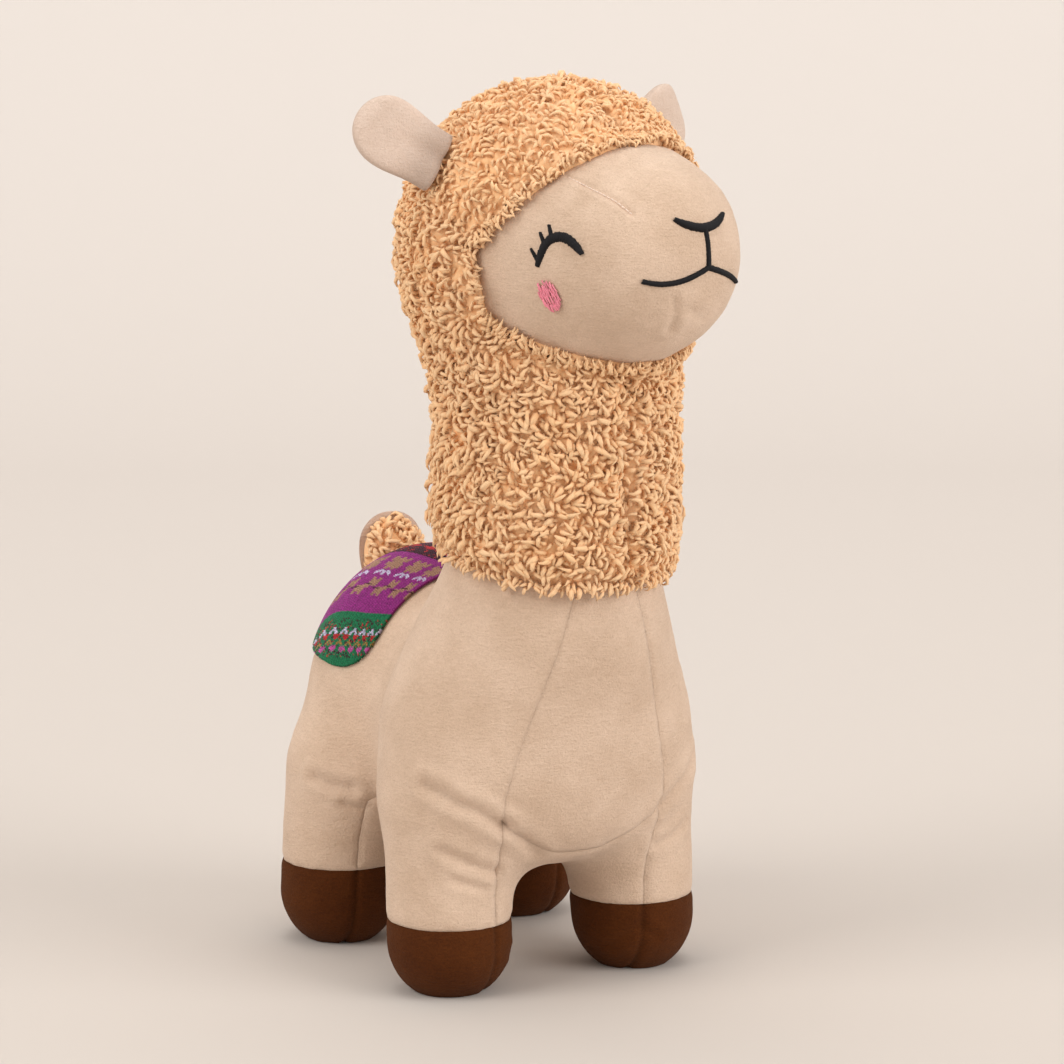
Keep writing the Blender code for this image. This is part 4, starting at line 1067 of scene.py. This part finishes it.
def make_mane(side, rng):
    """One half of the fleece: its ground, its locks, and the fibres that stand out of them."""
    name = f"mane_{side}"
    points, faces = surface(name, GROUND_LEVELS)
    make_ground(name, points, faces)
    roots = lock_roots(points, faces, rng)
    n = unit(slope(skin, roots))
    edge = hem_distance(roots)
    comb = combed(roots)
    crown = ramp(roots[:, 2], *CROWN, 0.0, 1.0)
    size = rng.uniform(*LOCK_SIZES, len(roots)) * ramp(edge, 0.0, 8.0, 0.85, 1.0)
    size = size * (1.0 + 0.2 * comb - 0.18 * crown)
    turn = rng.uniform(*LOCK_TURNS, len(roots)) * (1.0 - 0.42 * comb)
    flow = flow_at(roots, n, rng)
    high = pile_height(roots) - GROUND_DEPTH - 1.0 + LUMP_HEIGHT * (curls(roots) - LUMP_MIDDLE)
    high = high + ramp(edge, 0.0, HEM_SLOPE, 0.8, 0.0)
    start = roots + n * (high + rng.uniform(-LOCK_UNEVEN, LOCK_UNEVEN, len(roots)))[:, None]
    spill = ramp(edge, 0.0, SPILL_REACH, 1.0, 0.0) * rng.uniform(*HEM_SPILL, len(roots))
    start = start - unit(slope(hem_distance, roots)) * spill[:, None]
    add_fleece(f"{name}_locks", locks(start, n, flow, size, turn, rng))

    few = rng.permutation(len(roots))[: len(roots) // LOCKS_A_WISP]
    tips = roots[few] + n[few] * (pile_height(roots[few]) - 0.9)[:, None] + flow[few] * 1.2
    add_fleece(f"{name}_wisps", wisps(tips, n[few], flow[few], rng))


# Ears and tail

def paddle_width(t, root_width, full_width):
    """Half width of a paddle at shares t of its length: narrow root, round end."""
    swell = ramp(t, 0.0, 0.55, root_width, full_width) / 2
    return swell * np.sqrt(np.maximum(1.0 - (np.maximum(t - 0.55, 0.0) / 0.45) ** 2.4, 0.0))


def ring_faces(rings, around):
    """Faces of a closed form whose points are rings, then its tip, then the middle of its root."""
    r, k = np.meshgrid(np.arange(rings - 1), np.arange(around), indexing="ij")
    a = (r * around + k).ravel()
    b = (r * around + (k + 1) % around).ravel()
    faces = [np.stack([a, b, b + around], 1), np.stack([a, b + around, a + around], 1)]
    k = np.arange(around)
    last = (rings - 1) * around
    tip = np.full(around, rings * around)
    faces.append(np.stack([last + k, last + (k + 1) % around, tip], 1))
    faces.append(np.stack([(k + 1) % around, k, tip + 1], 1))
    return np.vstack(faces)


def outward(points, faces):
    """The same faces, turned outwards if they point in."""
    volume = (points[faces[:, 0]] * np.cross(points[faces[:, 1]], points[faces[:, 2]])).sum()
    return faces if volume > 0.0 else faces[:, ::-1]


def make_ear(side):
    """A flat ear of velour, sewn round its edge, cupped forwards, with a soft fold at its root."""
    sign = -1.0 if side == "right" else 1.0
    lift = math.radians(EAR_LIFT[side])
    swing = math.radians(EAR_SWING)
    out = np.array([sign * math.cos(swing), math.sin(swing), 0.0])
    along = out * math.cos(lift) + np.array([0.0, 0.0, math.sin(lift)])
    across = np.array([0.0, 0.0, math.cos(lift)]) - out * math.sin(lift)
    front = np.cross(along, across) * sign
    root = np.array([sign * EAR_SIDE, EAR_BACK, EAR_UP])
    ease = np.linspace(0.0, 1.0, EAR_RINGS)
    shares = -EAR_ROOT_DEPTH + (0.995 + EAR_ROOT_DEPTH) * (1.0 - (1.0 - ease) ** 1.7)
    angle = np.repeat(2 * math.pi * (np.arange(EAR_SIDES) + 0.5)[None] / EAR_SIDES, EAR_RINGS, axis=0)
    t = np.repeat(shares[:, None], EAR_SIDES, axis=1)
    half = paddle_width(t, EAR_ROOT_WIDTH, EAR_WIDTH)
    s = np.cos(angle)
    thick = EAR_THICKNESS / 2 * np.sqrt(np.maximum(1.0 - np.clip(t, 0.0, 1.0) ** 7, 0.01))
    flank = np.sign(np.sin(angle)) * np.abs(np.sin(angle)) ** 0.7
    depth = thick * flank + EAR_CUP * t * (half * s / (EAR_WIDTH / 2)) ** 2
    fold = np.exp(-((s - 0.1) / 0.28) ** 2) * np.clip(1.0 - t / 0.6, 0.0, 1.0)
    depth = depth - EAR_FOLD * fold * np.clip(np.sin(angle), 0.0, 1.0)
    spots = root + along * (EAR_LENGTH * t)[..., None] + across * (half * s)[..., None]
    spots = (spots + front * depth[..., None]).reshape(-1, 3)
    seam = np.abs(np.sin(angle)).ravel()
    puff = 0.55 * bumps(spots, 9.0, 6) + 0.15 * bumps(spots, 3.0, 8)
    spots = spots + front * (puff * seam * np.sign(np.sin(angle)).ravel())[:, None]
    tip = root + along * EAR_LENGTH * 0.998
    points = from_head(np.vstack([spots, tip, root - along * EAR_LENGTH * EAR_ROOT_DEPTH]))
    faces = outward(points, ring_faces(EAR_RINGS, EAR_SIDES))
    # Painted shade: darker along the seam round the rim, and darker towards the root where the ear meets the
    # head, darkest at the root's middle
    tone = 1.0 - 0.10 * np.exp(-(seam / 0.16) ** 2)
    tone = np.concatenate([tone * ramp(t.ravel(), 0.0, 0.45, 0.78, 1.0), [0.9, 0.7]])
    piece = add_mesh(f"ear_{side}_velour", points, faces, EAR_CREAM, tone)
    finish_piece(piece, [f"ear_{side}"])


def tail_form(near, far, share=1.0):
    """One cloth of the flat tail: near and far are the depths of its flat and its bowed face,
    forward of the tail's middle plane. Gives its points, outward directions and shares."""
    lean = math.radians(TAIL_LEAN)
    along = np.array([0.0, math.sin(lean), math.cos(lean)])
    forward = np.array([0.0, -math.cos(lean), math.sin(lean)])
    behind = np.array([[0.0, RUMP_Y + RUMP_HALF[1], TAIL_ROOT_Z]])
    root = seat_along(behind, np.array([0.0, 1.0, 0.0]), skin, 0.0)[0]
    shares = 0.985 * (1.0 - (1.0 - np.linspace(0.0, 1.0, TAIL_RINGS)) ** 1.5)
    angle = np.repeat(2 * math.pi * np.arange(TAIL_SIDES)[None] / TAIL_SIDES, TAIL_RINGS, axis=0)
    t = np.repeat(shares[:, None], TAIL_SIDES, axis=1)
    half = paddle_width(t, TAIL_ROOT_WIDTH, TAIL_WIDTH) * share
    bow = np.maximum(np.sin(angle), 0.0) * np.sqrt(1.0 - t ** 3)
    depth = near + (far - near) * bow
    width = np.array([1.0, 0.0, 0.0])
    points = root + along * (TAIL_LENGTH * share * t)[..., None] + forward * depth[..., None]
    points = points + width * (half * np.cos(angle))[..., None]
    seat = seat_along(np.vstack([points[0], points[0].mean(0)]), along, skin, 0.3)
    points[0] = seat[:-1]
    tip = root + along * TAIL_LENGTH * share + forward * (2 * near)
    away = forward * (np.sin(angle) * np.sign(far))[..., None] + width * np.cos(angle)[..., None] * 0.7
    away = unit(away + along * (0.15 + 1.2 * t ** 4)[..., None])
    points = np.vstack([points.reshape(-1, 3), tip, seat[-1:]])
    return points, away.reshape(-1, 3), angle.ravel(), t.ravel(), along


def make_tail(rng):
    """The flat tail: its smooth back cloth, and the curly front with its locks."""
    points, _, angle, _, _ = tail_form(-TAIL_GAP, -TAIL_BACK_CLOTH)
    # Painted shade: darker along the seam round the rim, and at its tip and the middle of its root
    tone = np.concatenate([1.0 - 0.12 * np.exp(-(np.sin(angle) / 0.2) ** 2), [0.9, 0.8]])
    faces = outward(points, ring_faces(TAIL_RINGS, TAIL_SIDES))
    piece = add_mesh("tail_back_velour", points, faces, EAR_CREAM, tone)
    finish_piece(piece, ["tail_back"])

    points, away, angle, t, along = tail_form(TAIL_GAP, TAIL_FLEECE - GROUND_DEPTH, TAIL_FRONT_SHARE)
    faces = outward(points, ring_faces(TAIL_RINGS, TAIL_SIDES))
    # Painted shade: the ground under the locks takes a colour part way towards the shaded root colour
    tone = np.full(len(points), 0.45)
    piece = add_mesh("tail_fleece_ground", points, faces, FLEECE, tone, points[:, [0, 2]] * 0.25)
    finish_piece(piece, ["tail_fleece"])
    curly = np.nonzero((np.sin(angle) > 0.22) & (t > 0.02))[0]
    roots = points[curly]
    kept = sow(roots, LOCK_SPACING * 0.9, rng)
    roots, n = roots[kept], away[curly][kept]
    flow = unit(np.cross(n, rng.normal(0.0, 1.0, n.shape)) + 0.7 * (along - n * (n @ along)[:, None]))
    size = rng.uniform(0.85, 1.2, len(roots))
    turn = rng.uniform(2.0, 4.0, len(roots))
    add_fleece("tail_locks", locks(roots - n * 1.5, n, flow, size, turn, rng))


# Blanket

PURPLE = (0.34, 0.030, 0.25)
GREEN = (0.012, 0.21, 0.085)
TAN = (0.45, 0.25, 0.165)
LILAC = (0.68, 0.61, 0.83)
RED = (0.56, 0.022, 0.03)
MAROON = (0.055, 0.010, 0.025)
ROSE = (0.62, 0.10, 0.39)
MUSTARD = (0.44, 0.25, 0.065)

# Bands across the blanket, from the spine down: the band's end in millimetres and its wool
BANDS = ((12.0, MAROON), (46.5, PURPLE), (99.0, GREEN))

# Rows of motifs: where each starts, its wool, its shift, how many fine stitches each mark is, its marks
MOTIFS = (
    (1.4, RED, 0, 2, ("..XX...", ".XXXX..", "XXX.XX.", ".XX.X..")),
    (15.6, TAN, 0, 2,
     ("X.X.X..", "XXXXX..", "XXXXX..", ".XXX...", "XXXXX..", "XXXXX..", ".XXXX..", ".X.X...")),
    (25.2, LILAC, 0, 1,
     ("..XX..XX......", ".XXXXXXXX.....", "XXX.XX.XXX....", "XX..XX..XX....", "X...XX...X....")),
    (29.6, TAN, 3, 2,
     ("...X.X.", "...XXX.", "...XXX.", "..XXXX.", "XXXX...", "XXX....", "XXX....", "X.X....")),
    (33.0, MAROON, 6, 1, (".......XXXXX..", "..............", "..............", "XXXXX.........")),
    (53.2, LILAC, 0, 1, ("..XX....", "..XX....", ".XXXX...", "XX..XX..", "XX..XX..")),
    (56.2, RED, 4, 1, ("XXXXX...", ".XXX....", ".XXX....", "..X.....")),
    (58.0, MUSTARD, 0, 1, ("..X.....", ".XXX....", "XX.XX...", "X...X...")),
    (60.4, ROSE, 4, 1, (".X.X....", "XXXXX...", "XXXXX...", ".XXX....", "..X.....")),
)


def wool_shift(y):
    """How far the pattern slips down the near side towards the waist, where the rump narrows."""
    ahead = np.maximum(BLANKET_Y - y, 0.0)
    return 0.35 * ahead + 0.012 * ahead ** 2 - 0.3 * np.maximum(y - BLANKET_Y, 0.0)


def wool_column(y):
    """Fine columns, which draw closer together towards the waist."""
    ahead = BLANKET_Y - y
    run = np.where(ahead > 0.0, ahead + 0.028 * ahead ** 2, 0.9 * ahead)
    return np.floor(run / WOOL_WIDE).astype(int) + 100


def stitch_colours(course, column, rng):
    """The wool of each fine stitch, by its course from the spine and its column."""
    spot = (course + 0.5) * WOOL_TALL
    colour = np.zeros((len(course), 3))
    start = -1.0
    for end, wool in BANDS:
        colour[(spot >= start) & (spot < end)] = wool
        start = end
    flecks = rng.random(len(course))
    low = (spot > 49.5) & (spot < 65.0)
    colour[low & (flecks < 0.20)] = MAROON
    colour[low & (flecks > 0.93)] = RED
    colour[(spot < 11.0) & (flecks < 0.10)] = RED
    for start, wool, shift, grain, rows in MOTIFS:
        row = np.floor((spot - start) / (WOOL_TALL * grain)).astype(int)
        grid = np.array([[mark == "X" for mark in line] for line in rows])
        inside = (row >= 0) & (row < len(rows))
        hit = grid[np.clip(row, 0, len(rows) - 1), (column + shift) // grain % grid.shape[1]]
        colour[inside & hit] = wool
    return colour * rng.uniform(0.85, 1.12, len(course))[:, None]


def over_rump(lines):
    """The cloth's lines across the rump, one at each of these y: their run from the spine and points."""
    angle = np.linspace(0.0, math.radians(118.0), 80)
    start = np.stack([np.zeros(len(lines)), lines, np.full(len(lines), RUMP_Z)], -1)
    way = np.stack([np.sin(angle), np.zeros(len(angle)), np.cos(angle)], -1)
    start = (start[:, None] + way[None] * RUMP_HALF[2]).reshape(-1, 3)
    ring = seat_along(start, np.tile(way, (len(lines), 1)), skin, BLANKET_LIFT)
    ring = ring.reshape(len(lines), -1, 3)
    step = np.linalg.norm(np.diff(ring, axis=1), axis=-1)
    return np.hstack([np.zeros((len(lines), 1)), np.cumsum(step, axis=1)]), ring


def on_rump(s, y):
    """Where the points of the flat cloth lie: s is their run from the spine, to the left."""
    reach = BLANKET_WIDTH / 2 + 1.0
    lines = np.linspace(BLANKET_Y - reach, BLANKET_Y + reach, 41)
    run, ring = over_rump(lines)
    low = np.clip(((y - lines[0]) / (lines[1] - lines[0])).astype(int), 0, len(lines) - 2)
    share = (y - lines[low]) / (lines[1] - lines[0])
    points = np.zeros(y.shape + (3,))
    for i in range(len(lines) - 1):
        mine = low == i
        for axis in range(3):
            one = np.interp(np.abs(s[mine]), run[i], ring[i, :, axis])
            two = np.interp(np.abs(s[mine]), run[i + 1], ring[i + 1, :, axis])
            points[mine, axis] = one * (1.0 - share[mine]) + two * share[mine]
    points[..., 0] = np.copysign(points[..., 0], s)
    return points.reshape(-1, 3)


def wool_colours(s, y, rng):
    """The wool at each point of the flat cloth, one colour to each fine stitch."""
    down = -s + wool_shift(y) * ramp(-s, -40.0, 10.0, 0.0, 1.0)
    course = np.floor(np.abs(down).ravel() / WOOL_TALL).astype(int)
    other = (down.ravel() < 0.0).astype(int)
    stitches, back = np.unique((course * 2 + other) * 1000 + wool_column(y.ravel()), return_inverse=True)
    return stitch_colours(stitches // 2000, stitches % 1000, rng)[back.reshape(-1)]


def grid_faces(grid, inside, points, normals):
    """The points used and the triangles of a grid of point numbers, where it lies inside the cut."""
    quads = np.stack([grid[:-1, :-1], grid[:-1, 1:], grid[1:, 1:], grid[1:, :-1]], -1).reshape(-1, 4)
    quads = quads[inside[quads].all(1)]
    faces = np.vstack([quads[:, [0, 1, 2]], quads[:, [0, 2, 3]]])
    a, b, c = points[faces.T]
    if (np.cross(b - a, c - a) * normals[faces[:, 0]]).sum() < 0.0:
        faces = faces[:, ::-1]
    used, back = np.unique(faces, return_inverse=True)
    return used, back.reshape(-1, 3)


def make_blanket(rng):
    """Knitted cloth laid over the rump: two leaning ridges to each stitch, cut round at its ends."""
    run, ring = over_rump(np.array([BLANKET_Y]))
    half_length = run[0][np.nonzero(ring[0, :, 2] < BLANKET_HANG_Z)[0][0]]
    half = BLANKET_WIDTH / 2
    columns = int(BLANKET_WIDTH / STITCH_WIDE)
    courses = int(half_length / STITCH_TALL) + 4
    rows = np.arange(-3 * courses, 3 * courses + 1)
    v, c, k = np.meshgrid(rows, np.arange(columns), np.arange(4), indexing="ij")
    lean = np.array(STITCH_LEANS)[k] * (1.0 - 2.0 * (v % 3) / 3.0)
    u = c + np.array(STITCH_PLACES)[k] + lean
    ridge = (np.array(STITCH_RIDGES)[k] * np.array(COURSE_RIDGES)[v % 3]).reshape(-1, 1)
    y = (BLANKET_Y - half + u * (BLANKET_WIDTH / columns)).reshape(len(v), -1)
    s = (v / 3.0 * STITCH_TALL).reshape(len(v), -1)
    points = on_rump(s, y)
    normals = unit(slope(skin, points))
    away = np.maximum(np.abs(s) - (half_length - BLANKET_CORNER), 0.0).ravel()
    ahead = BLANKET_Y - y.ravel()
    inside = np.hypot(away, np.where(ahead > 0.0, ahead * half / BLANKET_AHEAD, ahead)) < BLANKET_CORNER
    # Painted shade: each stitch darker down between its ridges and lighter on their tops
    colour = wool_colours(s, y, rng) * (0.45 + 0.6 * ridge)
    every = np.arange(len(points)).reshape(y.shape)

    used, faces = grid_faces(every, inside, points, normals)
    top = points + normals * (ridge * STITCH_RELIEF)
    top, faces, edge = with_hem(top[used], faces, normals[used], KNIT_DEPTH)
    # Painted shade on the knit's turned-down edge
    knit = add_mesh("blanket_knit", top, faces, WEAVE, np.vstack([colour[used], colour[used][edge] * 0.6]))
    finish_piece(knit, [])

    used, faces = grid_faces(every[::3, ::4], inside, points, normals)
    under = points[used] - normals[used] * CLOTH_SINK
    under, faces, edge = with_hem(under, faces, normals[used], CLOTH_DEPTH)
    piece = add_mesh("blanket_cloth", under, faces, WEAVE, np.vstack([colour[used], colour[used][edge]]))
    finish_piece(piece, ["blanket"])


# Stitched face

def on_face(turn, z, lift=0.0):
    """Points of the face, by their turn from its middle in degrees and their height on the head."""
    turn = np.radians(np.asarray(turn, float))
    z = np.asarray(z, float)
    start_head = np.stack([np.zeros_like(turn), np.zeros_like(turn), z], -1)
    way_head = np.stack([np.sin(turn), -np.cos(turn), np.zeros_like(turn)], -1)
    start = from_head(start_head)
    way = unit(from_head(start_head + way_head) - start)
    return seat_along(start + way * (MUZZLE_REACH + MUZZLE_HALF[1]), way, skin, lift)


def satin_row(path, widths, rise, rng):
    """Stitches side by side across a path; widths are along the path, from 0 to 1."""
    run = np.concatenate([[0.0], np.cumsum(np.linalg.norm(np.diff(path, axis=0), axis=1))])
    spots = np.arange(THREAD_PITCH / 2, run[-1], THREAD_PITCH)
    p = np.stack([np.interp(spots, run, path[:, axis]) for axis in range(3)], 1)
    n = unit(slope(skin, p))
    t = unit(np.gradient(p, axis=0))
    side = unit(np.cross(n, t) + 0.22 * t)
    half = np.interp(spots / run[-1], np.linspace(0.0, 1.0, len(widths)), widths) / 2
    ends = half[:, None] * rng.uniform(0.92, 1.12, (len(p), 2))
    s = np.linspace(-1.0, 1.0, THREAD_POINTS)
    reach = np.where(s < 0.0, ends[:, :1] * s, ends[:, 1:] * s)
    arch = np.sqrt(1.0 - 0.98 * s ** 2)
    centre = p[:, None] + side[:, None] * reach[..., None] + n[:, None] * (rise * arch - 0.15)[None, :, None]
    radius = np.full(reach.shape, THREAD) * rng.uniform(0.9, 1.1, len(p))[:, None]
    points, faces = tubes(centre, radius, n[:, None], THREAD_SIDES)
    tone = np.repeat(rng.uniform(0.8, 1.25, len(p)), THREAD_POINTS * THREAD_SIDES)
    return points, faces, tone


def join(rows):
    """Several point, face and tone sets as one."""
    shift = 0
    faces = []
    for points, own, _ in rows:
        faces.append(own + shift)
        shift += len(points)
    return np.vstack([r[0] for r in rows]), np.vstack(faces), np.concatenate([r[2] for r in rows])


def tapered(width, ends=0.45):
    """Widths of a row that thins towards its ends."""
    t = np.linspace(-1.0, 1.0, 21)
    return width * (ends + (1.0 - ends) * (1.0 - t ** 4))


def eye_height(t):
    """Height of the eye's arch from its outer end, t = -1, to its inner end, t = 1."""
    return EYE_Z + EYE_RISE * (1.0 - np.abs(t) ** EYE_ARCH) + EYE_TILT * t


def make_eye(side, rng):
    """The closed eye, an arch, and its three lashes."""
    sign = -1.0 if side == "right" else 1.0
    t = np.linspace(-1.0, 1.0, 41)
    arch = on_face(sign * (EYE_TURN - EYE_SPREAD * t), eye_height(t))
    rows = [satin_row(arch, tapered(STITCH_WIDTH), EYE_RAISE, rng)]
    reach = np.linspace(0.0, 1.0, 12)
    for spot, lean in zip(LASH_PLACES, LASH_LEANS):
        turn = EYE_TURN - EYE_SPREAD * spot - lean * LASH_LENGTH * reach
        path = on_face(sign * turn, eye_height(spot) + LASH_LENGTH * reach)
        rows.append(satin_row(path, STITCH_WIDTH * np.linspace(0.58, 0.30, 5), LASH_RAISE, rng))
    points, faces, tone = join(rows)
    finish_piece(add_mesh(f"eye_{side}_stitches", points, faces, DARK, tone), [f"eye_{side}"])


def make_mouth(rng):
    """The nose, the line below it and the two sides of the mouth."""
    t = np.linspace(-1.0, 1.0, 41)
    nose = on_face(NOSE_TURN * t, NOSE_Z - NOSE_DIP * (1.0 - t ** 2))
    reach = np.linspace(0.0, 1.0, 24)
    middle = on_face(np.zeros(24), NOSE_Z - NOSE_DIP + (LIP_Z - NOSE_Z + NOSE_DIP) * reach)
    right_z = LIP_Z - MOUTH_DIP * np.sin(np.abs(t) * 0.75 * math.pi) + MOUTH_END_RISE * t ** 2
    mouth_z = np.where(t < 0.0, right_z, LIP_Z - MOUTH_FALL_LEFT * t)
    mouth = on_face(np.where(t < 0.0, MOUTH_TURN_RIGHT, MOUTH_TURN_LEFT) * t, mouth_z)
    thin = STITCH_WIDTH * THIN_LINE
    rows = [
        satin_row(nose, tapered(STITCH_WIDTH * 0.92), NOSE_RAISE, rng),
        satin_row(middle, np.full(3, thin), LINE_RAISE, rng),
        satin_row(mouth, tapered(thin, 0.8), MOUTH_RAISE, rng),
    ]
    points, faces, tone = join(rows)
    piece = add_mesh("nose_and_mouth_stitches", points, faces, DARK, tone)
    finish_piece(piece, ["nose_and_mouth"])


def make_cheek(side, rng):
    """A low oval pad of long pink stitches, laid lengthwise in broken rows."""
    sign = -1.0 if side == "right" else 1.0
    tilt = math.radians(CHEEK_TILT)
    degrees = math.degrees(1.0 / HEAD_HALF[0])
    lines = []
    for v in np.arange(-CHEEK_WIDTH / 2 + 0.5, CHEEK_WIDTH / 2 - 0.3, CHEEK_PITCH):
        reach = CHEEK_LENGTH / 2 * math.sqrt(max(1.0 - (v / (CHEEK_WIDTH / 2)) ** 2, 0.02))
        reach *= rng.uniform(0.95, 1.04)
        breaks = [-reach]
        while breaks[-1] < reach - 2.0:
            breaks.append(min(breaks[-1] + rng.uniform(2.2, 4.2), reach))
        for start, end in zip(breaks[:-1], breaks[1:]):
            s = np.linspace(-1.0, 1.0, THREAD_POINTS)
            u = (start + end) / 2 + (end - start) / 2 * 1.06 * s
            w = v + rng.uniform(-0.18, 0.18) + 0.22 * s * rng.uniform(-1.0, 1.0)
            turn = CHEEK_TURN + (u * math.sin(tilt) + w * math.cos(tilt)) * degrees
            height = CHEEK_Z + u * math.cos(tilt) - w * math.sin(tilt)
            dome = 0.45 * (1.0 - (v / (CHEEK_WIDTH / 2)) ** 2)
            rise = 0.30 + dome + 0.30 * np.sqrt(1.0 - 0.98 * s ** 2)
            p = on_face(sign * turn, height)
            lines.append(p + unit(slope(skin, p)) * rise[:, None])
    points, faces = threads(lines, CHEEK_THREAD)
    tone = np.repeat(rng.uniform(0.85, 1.12, len(lines)), THREAD_POINTS * THREAD_SIDES)
    piece = add_mesh(f"cheek_{side}_stitches", points, faces, PINK, tone)
    finish_piece(piece, [f"cheek_{side}"])


# Studio

def view_axes():
    """The directions towards the camera, to its right and up."""
    turn = math.radians(CAMERA_TURN)
    back = np.array([math.sin(turn), -math.cos(turn), 0.0])
    right = np.array([math.cos(turn), math.sin(turn), 0.0])
    return back, right, np.array([0.0, 0.0, 1.0])


def make_camera():
    back, right, up = view_axes()
    eye = Vector(place(back * CAMERA_DISTANCE + up * CAMERA_Z))
    aim = Vector(place(up * AIM_Z + right * AIM_ASIDE))
    camera = bpy.data.cameras.new("camera")
    camera.lens = LENS
    camera.sensor_width = SENSOR
    camera.clip_start = 0.1
    camera.clip_end = 20.0
    made = bpy.data.objects.new("camera", camera)
    made.location = eye
    made.rotation_euler = (aim - eye).to_track_quat("-Z", "Y").to_euler()
    bpy.context.scene.collection.objects.link(made)
    bpy.context.scene.camera = made


def add_light(name, location, aim, size, power, colour):
    light = bpy.data.lights.new(name, "AREA")
    light.shape = "DISK"
    light.size = size
    light.energy = power
    light.color = colour
    made = bpy.data.objects.new(name, light)
    made.location = location
    made.rotation_euler = (Vector(aim) - Vector(location)).to_track_quat("-Z", "Y").to_euler()
    bpy.context.scene.collection.objects.link(made)


def make_backdrop():
    """A pale sweep: floor in front, curving up into a wall behind the toy."""
    look, tree, shader, spot = new_look("backdrop")
    back, right, up = view_axes()
    # Painted light and shade: the colour grades from the darker floor to the lighter wall behind
    behind = put(tree, "ShaderNodeVectorMath", {0: spot, 1: tuple(-back)}, operation="DOT_PRODUCT")
    share = spread(tree, behind.outputs["Value"], 0.0, 1.0, -0.2, 2.0)
    colour = blend(tree, share, SHADED_FLOOR_COLOUR, LIT_WALL_COLOUR)
    tree.links.new(colour, shader.inputs["Base Color"])
    shader.inputs["Roughness"].default_value = 0.9
    shader.inputs["Specular IOR Level"].default_value = 0.1
    turns = np.linspace(0.05, math.pi / 2, 24)
    curve = [(SWEEP_BEND * math.sin(a), SWEEP_BEND - SWEEP_BEND * math.cos(a)) for a in turns]
    profile = [(-SWEEP_FRONT, 0.0), (0.0, 0.0), (SWEEP_REACH, 0.0)]
    profile += [(SWEEP_REACH + along, height) for along, height in curve]
    profile += [(SWEEP_REACH + SWEEP_BEND, SWEEP_TOP)]
    points = []
    for along, height in profile:
        for aside in np.linspace(-SWEEP_HALF, SWEEP_HALF, SWEEP_COLUMNS):
            points.append((right * aside - back * along + up * height) / MM)
    faces = []
    for r in range(len(profile) - 1):
        for k in range(SWEEP_COLUMNS - 1):
            a = r * SWEEP_COLUMNS + k
            faces.append((a, a + 1, a + 1 + SWEEP_COLUMNS, a + SWEEP_COLUMNS))
    add_mesh("backdrop_sweep", np.array(points), faces, look)


def make_studio():
    make_camera()
    back, right, up = view_axes()
    middle = up * 0.15
    add_light("key", back * 1.25 - right * 2.1 + up * 1.75, middle, 2.0, 42.0, DAYLIGHT)
    add_light("fill", back * 1.2 + right * 2.3 + up * 1.2, middle, 2.2, 46.0, (1.0, 0.985, 0.97))
    add_light("top", up * 2.6 - back * 0.2, middle, 2.0, 15.0, SOFT_WHITE)
    add_light("wall", up * 2.4 - back * 0.6, up * 0.9 - back * 2.0, 1.6, 8.0, SOFT_WHITE)
    make_backdrop()
    world = bpy.data.worlds.new("studio")
    world.use_nodes = True
    ambient = world.node_tree.nodes["Background"]
    ambient.inputs["Color"].default_value = opaque(DAYLIGHT)
    ambient.inputs["Strength"].default_value = AMBIENT
    bpy.context.scene.world = world
    bpy.context.scene.view_settings.view_transform = "Standard"


def main():
    rng = np.random.default_rng(SEED)
    make_studio()
    make_filling()
    make_panels()
    for side in ("right", "left"):
        make_mane(side, rng)
        make_ear(side)
        make_eye(side, rng)
        make_cheek(side, rng)
        make_dart(side, rng)
    make_mouth(rng)
    make_tail(rng)
    make_blanket(rng)


main()
